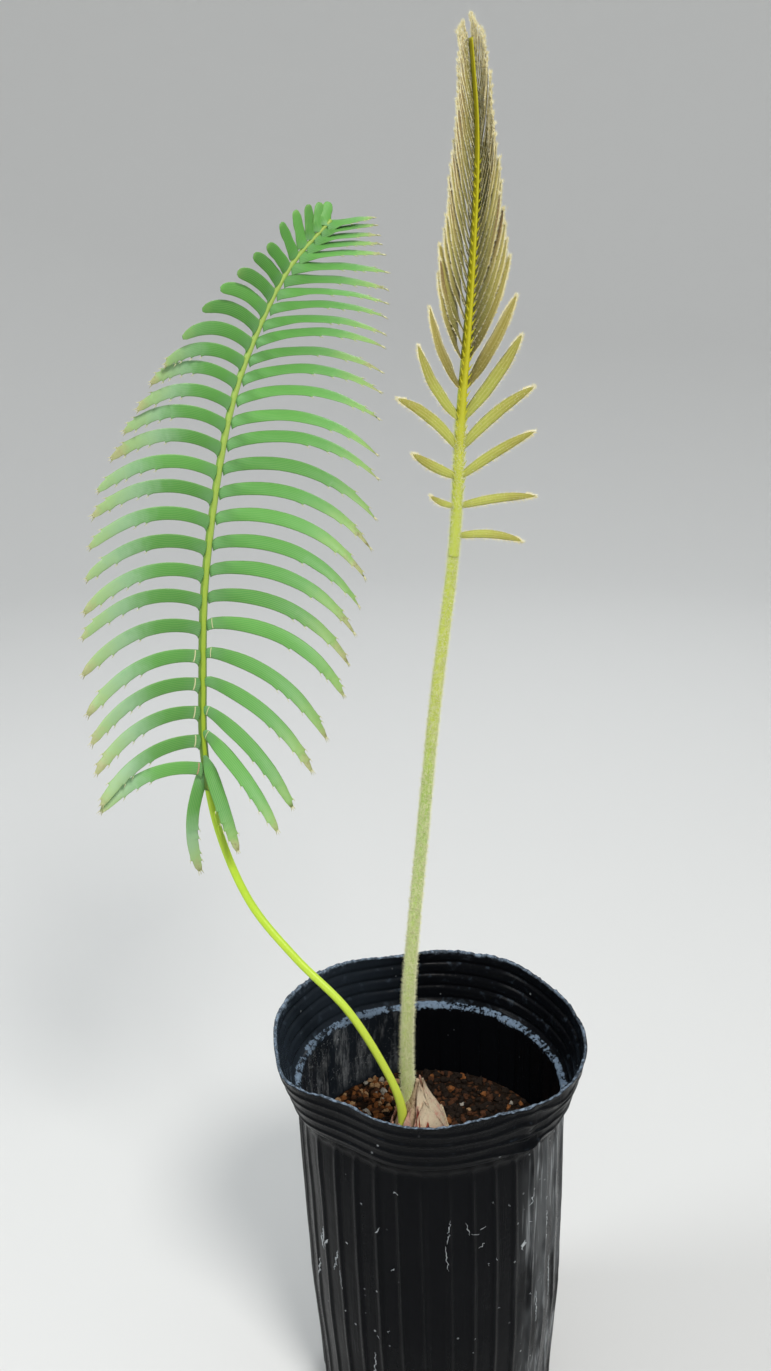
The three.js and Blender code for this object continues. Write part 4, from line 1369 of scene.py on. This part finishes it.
# The lower two radii take in the felt, whose lumps fade out under the blade
YOUNG_STALK_RADII = [2.75, 2.25, 1.9]
YOUNG_BLADE_START = 0.585
YOUNG_STALK_RUN_ON = 0.003
YOUNG_RIB_LAP = 0.004
YOUNG_FACE_HEADING = 12
YOUNG_CHANNEL = 0.08
YOUNG_RIDGE = 0.06
STALK_HAIRS = 26000
WOOL_FOOT = 0.03
WOOL_TOP = 0.7
WOOL_THINNING = 1.15
STALK_HAIR_LEAN = (0.3, 0.5)
STALK_HAIR_SPREAD = 0.45
STALK_HAIR_LENGTH = (0.5, 1.45)
STALK_HAIR_REACH = [2.7, 2.2, 1.85]
STALK_LUMPS = 0.14
LUMPS_FADE = (0.9, 0.98)
HAIR_RADIUS = 0.07
HAIR_ROOT = 0.1
WOOL_CREAM = (0.80, 0.80, 0.52, 1)
WOOL_SILVER = (0.90, 0.88, 0.70, 1)
YOUNG_GREEN = (0.27, 0.47, 0.075, 1)
YOUNG_PALE = (0.60, 0.68, 0.26, 1)
YOUNG_TOP = (0.50, 0.58, 0.07, 1)


def hair_mesh(roots, directions, lengths, radius):
    """Thin three-sided hairs that come to a point, with their feet sunk in the skin."""
    directions = unit(directions)
    helper = np.where(np.abs(directions[:, 2:]) < 0.8, UP, np.array([1.0, 0.0, 0.0]))
    side = unit(np.cross(directions, helper))
    star = circle(3, side[:, None], np.cross(directions, side)[:, None]) * radius
    feet = roots[:, None] - directions[:, None] * HAIR_ROOT + star
    tips = (roots + directions * lengths[:, None])[:, None]
    points = np.concatenate([feet, tips], axis=1).reshape(-1, 3)
    first = np.arange(len(roots))[:, None, None] * 4
    faces = first + np.array([[0, 1, 3], [1, 2, 3], [2, 0, 3], [2, 1, 0]])[None]
    return points, faces.reshape(-1, 3).tolist()


def downy_finish():
    """Green skin seen through a felt of cream wool, which thins out below the blade."""
    finish, place = new_finish("downy_stalk", Roughness=0.8, Specular_IOR_Level=0.25, Sheen_Weight=0.4)
    height = place.part("Z")
    felt = place.stretched(1, 1, 0.45).noise(800, 5, 0.75)
    lower = height.over_mm(125, 330).mix(YOUNG_PALE, YOUNG_GREEN)
    skin_colour = height.over_mm(250, 310).mix(lower, YOUNG_TOP)
    bare = height.over_mm(290, 350)
    (felt.over(0.45, 0.65) * (0.5 - 0.42 * bare)).mix(skin_colour, WOOL_CREAM).drives("Base Color")
    felt.relief(0.8, 0.3).drives("Normal")
    return finish


young_course = Course(YOUNG_LINE)
shares = np.linspace(0, YOUNG_BLADE_START + YOUNG_STALK_RUN_ON, STALK_ROWS)
radii = np.interp(shares / YOUNG_BLADE_START, STALK_RADII_AT, YOUNG_STALK_RADII)
rings = limb_rings(young_course, shares, radii, YOUNG_CHANNEL, YOUNG_FACE_HEADING)
fade = 1 - smooth_step(*LUMPS_FADE, shares / YOUNG_BLADE_START)
lumps = ripple(rings, 2.2, 6.0) * STALK_LUMPS * fade[:, None]
rings = rings + unit(rings - rings.mean(axis=1, keepdims=True)) * lumps[:, :, None]
young_stalk_skin = Skins()
young_stalk_skin.add(rings)
young_stalk = young_stalk_skin.piece("young_frond_petiole", [downy_finish()], "woolly_stalk")
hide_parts("young_frond_stalk")

young_random = np.random.default_rng(YOUNG_SEED)
hair_shares = WOOL_TOP * young_random.uniform(WOOL_FOOT, 1, STALK_HAIRS) ** WOOL_THINNING
hair_turns = young_random.uniform(0, 2 * math.pi, STALK_HAIRS)
ahead = young_course.ahead(hair_shares)
side = unit(np.cross(facing(0), ahead))
out = np.cos(hair_turns)[:, None] * side + np.sin(hair_turns)[:, None] * np.cross(ahead, side)
reach = np.interp(hair_shares / YOUNG_BLADE_START, STALK_RADII_AT, STALK_HAIR_REACH)
roots = young_course.point(hair_shares) + out * reach[:, None]
directions = out + ahead * young_random.normal(*STALK_HAIR_LEAN, (STALK_HAIRS, 1))
directions = directions + young_random.normal(0, STALK_HAIR_SPREAD, (STALK_HAIRS, 3))
lengths = young_random.uniform(*STALK_HAIR_LENGTH, STALK_HAIRS) * (1.25 - 0.4 * hair_shares)
points, faces = hair_mesh(roots, directions, lengths, HAIR_RADIUS)
new_piece(
    "young_stalk_wool",
    points,
    faces,
    [plain_finish("stalk_wool", WOOL_CREAM, 0.85)],
    creased=True,
)

# Young frond, blade
# The lowest leaflets have opened. The rest still stand up in two rows, one each side of the
# bright yellow midrib, downy olive-bronze with silvery hairs along every edge and tip.

YOUNG_PAIRS = 23
YOUNG_FIRST = {"left": 1.4, "right": 0.4}
YOUNG_WIDTHS = {"left": 4.6, "right": 4.6}
YOUNG_WIDENING = ([0, 0.1, 0.2, 0.3, 0.6, 0.8, 1], [0.64, 0.7, 0.86, 1.04, 0.98, 0.8, 0.4])
YOUNG_DOUBLED_FROM = 0.26
YOUNG_COLUMNS = 9
YOUNG_STATIONS = 26
YOUNG_FORM = {"columns": YOUNG_COLUMNS, "arch": 0.1, "vein": 0.04, "wave": 0.12}
# Smaller leaflets are also narrower than their length asks: lengths, and shares of the width
YOUNG_SIZES = ([5, 20], [0.55, 1])
YOUNG_SEAT = 0.7
YOUNG_RISE_SPREAD = 0.8
YOUNG_CURL_SPREAD = 0.04
YOUNG_THICKNESS = 0.5
SPEAR_THINNING = 0.15
# Shares of the blade over which the open leaflets give way to the spear and more of the
# spear's turn brown
SPEAR_FROM = (0.25, 0.4)
BROWN_FROM = (0.4, 0.7)
LEAST_BROWN = 0.15
MORE_BROWN = 0.6
# How far a leaflet of the spear is shifted over its middle line, in shares of a half width
FOLDING = 0.65
# Turns of a leaflet that are the same in both rows
YOUNG_TURNS = {
    "lean": [15, 12, 0, -20, -50, -80, -90, -90, -90, -90],
    "foot_lean": [0, 0, 0, 0, -20, -60, -90, -90, -90, -90],
    "foot_aim": [-90, -90, -90, -90, -90, -90, -90, -90, -90, -90],
}
YOUNG_KEYS = {
    "at": [0.02, 0.09, 0.15, 0.215, 0.28, 0.39, 0.5, 0.7, 0.88, 1],
    "left": {
        "length": [8, 10, 17.5, 28, 29, 31, 31, 29, 22, 6.5],
        "toward": [20, 20, 20, 21, 25, 31, 38, 42, 36, 25],
        "rise": [11, 11, 22, 52, 45, 56, 60, 65, 68, 66],
        "droop": [-30, -30, -15, 30, -35, -31, -26, -18, -7, -4],
        "aim": [90, 90, -40, -40, -40, -45, -55, -62, -62, -62],
        **YOUNG_TURNS,
    },
    "right": {
        "length": [22, 26, 29, 31.5, 34, 37.5, 38, 33, 22, 8.5],
        "toward": [10, 11, 12, 13, 18, 30, 40, 50, 52, 45],
        "rise": [12, 16, 37, 50, 49, 55, 60, 70, 77, 92],
        "droop": [33, 17, 12, 20, -15, -27, -26, -20, -14, -4],
        "aim": [90, 90, -40, -40, -40, -55, -80, -100, -104, -104],
        **YOUNG_TURNS,
    },
}
YOUNG_EDGE = [0.55, 0.6, 0.66, 0.78, 0.98, 1, 0.9, 0.66, 0.38, 0.12]
EDGE_HAIRS_PER_MM = 6
TIP_HAIRS_PER_MM = 22
TIP_HAIRS = 40
FACE_HAIRS_PER_MM2 = 0.8
EDGE_HAIR_LENGTH = (0.4, 1.1)
TIP_HAIR_LENGTH = (0.5, 1.1)
LOOSE_HAIRS_PER_MM = 3
LOOSE_HAIR_LENGTH = (0.9, 1.9)
FACE_HAIR_LENGTH = (0.25, 0.6)
TUFT_HAIR_LENGTH = (0.7, 1.5)
TUFT_WIDTH = 0.3
TUFT_LEAN = 0.35
TUFT_SPREAD = 0.42
HAIR_LEAN = 0.9
HAIR_SPREAD = 0.4
EDGE_HAIR_RADIUS = 0.06
RACHIS_AT = [0, 0.25, 0.5, 0.75, 1]
RACHIS_RADII = [1.95, 1.75, 1.15, 0.85, 0.5]
RACHIS_KEEL = 2.6
RACHIS_KEEL_RISE = (0.2, 0.45)
# The pale feet of leaflets on the midrib: shares of the blade, and their distance apart
BASE_TICKS = (0.12, 0.78)
BASE_TICK_PITCH = 0.018
BASE_TICK_LENGTH = 3.4
BASE_TICK_WIDTH = 0.45
BASE_TICK_DEPTH = 0.4
BASE_TICK_SIDES = 8
BASE_TICK_ROWS = 6
YOUNG_LEAF_GREEN = (0.40, 0.43, 0.075, 1)
YOUNG_LEAF_OLIVE = (0.31, 0.29, 0.045, 1)
YOUNG_LEAF_BRONZE = (0.30, 0.25, 0.045, 1)
YOUNG_LEAF_BROWN = (0.18, 0.10, 0.025, 1)
# Painted shade deep inside the folded spear
SPEAR_SHADE = (0.085, 0.075, 0.012, 1)
YOUNG_RIB_YELLOW = (0.50, 0.47, 0.012, 1)
YOUNG_RIB_LIME = (0.40, 0.48, 0.03, 1)
WOOL_STRAW = (0.80, 0.70, 0.34, 1)


def young_leaf_finish(name, low, high):
    """Soft new blade: olive near its foot, bronzed or brown outward, with downy edges, and painted shade over
    the feet of the spear's leaflets.
    """
    leaf, place = new_finish(name, Roughness=0.75, Specular_IOR_Level=0.3, Sheen_Weight=0.2)
    along = place.attribute("along")
    across = place.attribute("across")
    mottling = place.noise(420, 3, 0.6)
    veins = (across * 4.0 * math.pi).math("COSINE").over(-0.2, 1.0)
    spear = place.attribute("spear")
    colour = (along + 0.5 * (mottling - 0.5)).over(0.2, 0.95).mix(low, high)
    colour = (veins * 0.15).mix(colour, WOOL_STRAW)
    # Painted shade inside the spear, darkest at the leaflets' feet
    painted_shade = spear * (1 - along.over(0.15, 0.75)) * 0.75
    colour = painted_shade.mix(colour, SPEAR_SHADE)
    edge = across.math("ABSOLUTE")
    down = edge.over(0.78, 1.0) * (0.15 + 0.35 * spear)
    down = down + spear * edge.over(0.45, 0.9) * along.over(0.3, 0.6) * 0.5
    felt = place.noise(1500, 4, 0.7).over(0.52, 0.75) * 0.3
    (down + felt).math("MINIMUM", 1.0).mix(colour, WOOL_STRAW).drives("Base Color")
    (veins * 0.5 + place.noise(1300, 3)).relief(0.6, 0.2).drives("Normal")
    return leaf


def young_rib_finish():
    """Bright yellow in front, greener at its sides and towards the stalk."""
    finish, place = new_finish("young_midrib", Roughness=0.45)
    front = place.attribute("across")
    streaks = place.stretched(1, 1, 0.12).noise(900, 3)
    stripe = (front.over(-0.2, 0.8) + 0.4 * (streaks - 0.5)).over(0.1, 0.8)
    foot = 1 - place.part("Z").over_mm(355, 425)
    yellow = foot.mix(YOUNG_RIB_YELLOW, YOUNG_TOP)
    stripe.mix(YOUNG_RIB_LIME, yellow).drives("Base Color")
    streaks.relief(0.3, 0.12).drives("Normal")
    return finish


def hairs_along(line, leave, low, high, count, hair_length, random):
    """Roots, directions and lengths of hairs scattered along a leaflet's line of points."""
    shares = np.linspace(0, 1, len(line))
    places = random.uniform(low, high, count)
    directions = along_line(leave, shares, places) + random.normal(0, HAIR_SPREAD, (count, 3))
    return along_line(line, shares, places), directions, random.uniform(*hair_length, count)


def hairs_over(rings, ahead, count, random):
    """Roots, directions and lengths of hairs scattered over a leaflet's faces."""
    rows = random.integers(1, YOUNG_STATIONS, count)
    roots = rings[rows, random.integers(0, rings.shape[1], count)]
    directions = unit(roots - rings[rows].mean(axis=1)) + HAIR_LEAN * ahead[rows]
    directions = directions + random.normal(0, HAIR_SPREAD, (count, 3))
    return roots, directions, random.uniform(*FACE_HAIR_LENGTH, count)


young_leaf = Skins()
young_hairs = []
columns = np.linspace(-1, 1, YOUNG_COLUMNS)
young_across = there_and_back(columns, columns)
middle_column = YOUNG_COLUMNS // 2
stations = np.linspace(0, 1, YOUNG_STATIONS)
young_shapes = leaflet_shapes(YOUNG_KEYS, YOUNG_PAIRS, YOUNG_FIRST, YOUNG_WIDTHS, YOUNG_DOUBLED_FROM)
for side, shape in young_shapes:
    at = shape["at"]
    spear = smooth_step(*SPEAR_FROM, at)
    along = blade_place(YOUNG_BLADE_START, at)
    shape["rise"] += young_random.normal(0, YOUNG_RISE_SPREAD)
    shape["toward"] += young_random.normal(0, 1 + spear)
    rib_radius = np.interp(at, RACHIS_AT, RACHIS_RADII) * YOUNG_SEAT
    shape["front_seat"] = FRONT_SEAT["left"][0]
    shape["side_seat"] = SIDE_SEAT["left"][0]
    line, edges, front = leaflet_course(young_course, along, side, shape, rib_radius, YOUNG_FACE_HEADING)
    size = np.interp(shape["length"], *YOUNG_SIZES)
    half = shape["width"] / 2 * size * np.interp(at, *YOUNG_WIDENING)
    width = np.interp(stations, EDGE_STATIONS, YOUNG_EDGE) * half
    halves = [width * (1 - FOLDING * spear), width * (1 + FOLDING * spear)]
    bend = {"curl": young_random.normal(0, YOUNG_CURL_SPREAD), "phase": young_random.uniform(0, 6)}
    form = YOUNG_FORM | bend | {"thickness": YOUNG_THICKNESS - SPEAR_THINNING * spear}
    rings = leaflet_rings(line, edges, front, stations, *halves, form)
    if spear < 0.5:
        kind = 0
    else:
        brown = LEAST_BROWN + MORE_BROWN * smooth_step(*BROWN_FROM, at)
        kind = int(young_random.choice(3, p=[0.6 * (1 - brown), 0.4 * (1 - brown), brown])) + 1
    young_leaf.add(rings, kind, along=stations[:, None], across=young_across, spear=spear)
    ahead = unit(np.gradient(rings[:, middle_column], axis=0))
    length = shape["length"]
    for column in (0, YOUNG_COLUMNS - 1):
        leave = unit(rings[:, column] - rings[:, middle_column]) + HAIR_LEAN * ahead
        runs = [
            (0.04, 1.0, EDGE_HAIRS_PER_MM * (0.35 + 0.65 * spear), EDGE_HAIR_LENGTH),
            (0.88 - 0.26 * spear, 1.0, TIP_HAIRS_PER_MM * (0.12 + 0.26 * spear), TIP_HAIR_LENGTH),
        ]
        if column == 0 and spear < 0.5:
            runs.append((0.08, 0.97, LOOSE_HAIRS_PER_MM, LOOSE_HAIR_LENGTH))
        for low, high, per_mm, hair_length in runs:
            count = int(length * per_mm)
            hairs = hairs_along(rings[:, column], leave, low, high, count, hair_length, young_random)
            young_hairs.append(hairs)
    count = int(length * shape["width"] * FACE_HAIRS_PER_MM2)
    young_hairs.append(hairs_over(rings, ahead, count, young_random))
    roots = rings[-1].mean(axis=0) + young_random.normal(0, TUFT_WIDTH, (TIP_HAIRS, 3))
    leave = ahead[-1] + TUFT_LEAN * spear * front + young_random.normal(0, TUFT_SPREAD, (TIP_HAIRS, 3))
    lengths = young_random.uniform(*TUFT_HAIR_LENGTH, TIP_HAIRS) * (0.6 + 0.4 * size)
    young_hairs.append((roots, leave, lengths))
young_finishes = [
    young_leaf_finish("new_leaf_green", YOUNG_LEAF_GREEN, YOUNG_LEAF_OLIVE),
    young_leaf_finish("new_leaf_olive", YOUNG_LEAF_OLIVE, YOUNG_LEAF_BRONZE),
    young_leaf_finish("new_leaf_bronze", YOUNG_LEAF_BRONZE, YOUNG_LEAF_BRONZE),
    young_leaf_finish("new_leaf_brown", YOUNG_LEAF_OLIVE, YOUNG_LEAF_BROWN),
]
young_blade = young_leaf.piece("young_frond_leaflets", young_finishes, "young_leaf", mapped=True)
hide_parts("young_frond_blade")

# The midrib, with the pale feet of the leaflets standing off it like fish bones
shares = np.linspace(YOUNG_BLADE_START - YOUNG_RIB_LAP, 1, RIB_ROWS)
radii = np.interp(np.linspace(0, 1, RIB_ROWS), RACHIS_AT, RACHIS_RADII)
rings = limb_rings(young_course, shares, radii, -YOUNG_RIDGE, YOUNG_FACE_HEADING)
face = facing(YOUNG_FACE_HEADING)
keel = RACHIS_KEEL * smooth_step(*RACHIS_KEEL_RISE, np.linspace(0, 1, RIB_ROWS))
rings = rings + face * keel[:, None, None] * np.clip(ring_front, 0, 1)[None, :, None]
young_rib = Skins()
young_rib.add(rings, across=ring_front)
for side in (-1, 1):
    for at in np.arange(*BASE_TICKS, BASE_TICK_PITCH) + BASE_TICK_PITCH / 4 * side:
        along = YOUNG_BLADE_START + (1 - YOUNG_BLADE_START) * at
        ahead = young_course.ahead(along)
        right = unit(np.cross(ahead, face))
        radius = np.interp(at, RACHIS_AT, RACHIS_RADII)
        forward = radius * 0.5 + RACHIS_KEEL * smooth_step(*RACHIS_KEEL_RISE, at) * 0.8
        root = young_course.point(along) + face * forward + right * side * radius * 0.45
        leave = unit(ahead + right * side * young_random.uniform(0.4, 0.6) + face * 0.25)
        across = unit(np.cross(leave, face))
        section = circle(BASE_TICK_SIDES, across * BASE_TICK_WIDTH, np.cross(leave, across) * BASE_TICK_DEPTH)
        tick = []
        for share in np.linspace(0, 1, BASE_TICK_ROWS):
            swell = (0.3 + 0.7 * math.sin(math.pi * min(1, share + 0.25))) * (1 - at * 0.45)
            tick.append(root + leave * share * BASE_TICK_LENGTH * (1 - at * 0.4) + section * swell)
        young_rib.add(np.array(tick), across=0.9)
young_rib.piece("young_frond_midrib", [young_rib_finish()], "young_leaf", mapped=True)

roots, directions, lengths = (np.concatenate(part) for part in zip(*young_hairs))
for name, colour, first in [("young_leaf_wool", WOOL_SILVER, 0), ("young_leaf_down", WOOL_STRAW, 1)]:
    points, faces = hair_mesh(roots[first::2], directions[first::2], lengths[first::2], EDGE_HAIR_RADIUS)
    new_piece(name, points, faces, [plain_finish(name, colour, 0.8)], creased=True)

# Stage
# A pale floor that rises into a pale wall all round, soft lights overhead and a camera at the
# photograph's height and distance, looking down on the pot's mouth.

STAGE_RADIUS = 2200
STAGE_BEND = 900
STAGE_HEIGHT = 2600
STAGE_SIDES = 96
STAGE_BEND_ROWS = 16
STAGE_PALE = (0.74, 0.74, 0.73, 1)
SKY_COLOUR = (0.9, 0.95, 1, 1)
SKY_STRENGTH = 0.42
# Name, place, point aimed at, width, power and colour of each light
LIGHTS = [
    ("key", (350, -850, 1350), (-20, 0, 250), 420, 15, (1, 0.98, 0.95)),
    ("side", (-1050, -150, 1150), (-60, 0, 300), 500, 7, (0.95, 0.98, 1)),
    ("rim", (300, 1100, 1200), (0, 0, 250), 500, 5, (0.95, 0.98, 1)),
]
CAMERA_PLACE = (-22, -440.5, 466)
CAMERA_PITCH = 19.6
CAMERA_LENS = 35
SENSOR = 36


def stage_points():
    flat = STAGE_RADIUS - STAGE_BEND
    profile = [(radius, 0.0) for radius in (1, 300, 900, flat)]
    for k in range(1, STAGE_BEND_ROWS + 1):
        turn = k / STAGE_BEND_ROWS * math.pi / 2
        profile.append((flat + STAGE_BEND * math.sin(turn), STAGE_BEND * (1 - math.cos(turn))))
    profile.append((STAGE_RADIUS, STAGE_HEIGHT))
    ring = outward(round_turns(STAGE_SIDES))
    return np.array([ring * radius + UP * height for radius, height in profile])


def soft_light(name, place, aim, size, watts, colour):
    lamp = bpy.data.lights.new(name, "AREA")
    lamp.shape = "DISK"
    lamp.size = size * MM
    lamp.energy = watts
    lamp.color = colour
    light = bpy.data.objects.new(name, lamp)
    light.location = Vector(place) * MM
    light.rotation_euler = (Vector(aim) - Vector(place)).to_track_quat("-Z", "Y").to_euler()
    bpy.context.scene.collection.objects.link(light)


stage_rings = stage_points()
stage_mesh = bpy.data.meshes.new("floor")
stage_faces = grid_faces(len(stage_rings), STAGE_SIDES)
stage_faces.append(tuple(range(STAGE_SIDES)))
stage_mesh.from_pydata((stage_rings.reshape(-1, 3) * MM).tolist(), [], stage_faces)
stage_mesh.polygons.foreach_set("use_smooth", np.full(len(stage_mesh.polygons), True))
stage_mesh.materials.append(new_finish("pale_floor", Roughness=0.9, Base_Color=STAGE_PALE)[0])
floor = bpy.data.objects.new("floor", stage_mesh)
bpy.context.scene.collection.objects.link(floor)

world = bpy.data.worlds.new("soft_sky")
world.use_nodes = True
world.node_tree.nodes["Background"].inputs["Color"].default_value = SKY_COLOUR
world.node_tree.nodes["Background"].inputs["Strength"].default_value = SKY_STRENGTH
bpy.context.scene.world = world
for light in LIGHTS:
    soft_light(*light)

camera_data = bpy.data.cameras.new("camera")
camera_data.lens = CAMERA_LENS
camera_data.sensor_width = SENSOR
camera_data.clip_start = 0.01
camera = bpy.data.objects.new("camera", camera_data)
camera.location = Vector(CAMERA_PLACE) * MM
camera.rotation_euler = (math.radians(90 - CAMERA_PITCH), 0, 0)
bpy.context.scene.collection.objects.link(camera)
bpy.context.scene.camera = camera
bpy.context.scene.view_settings.view_transform = "Standard"
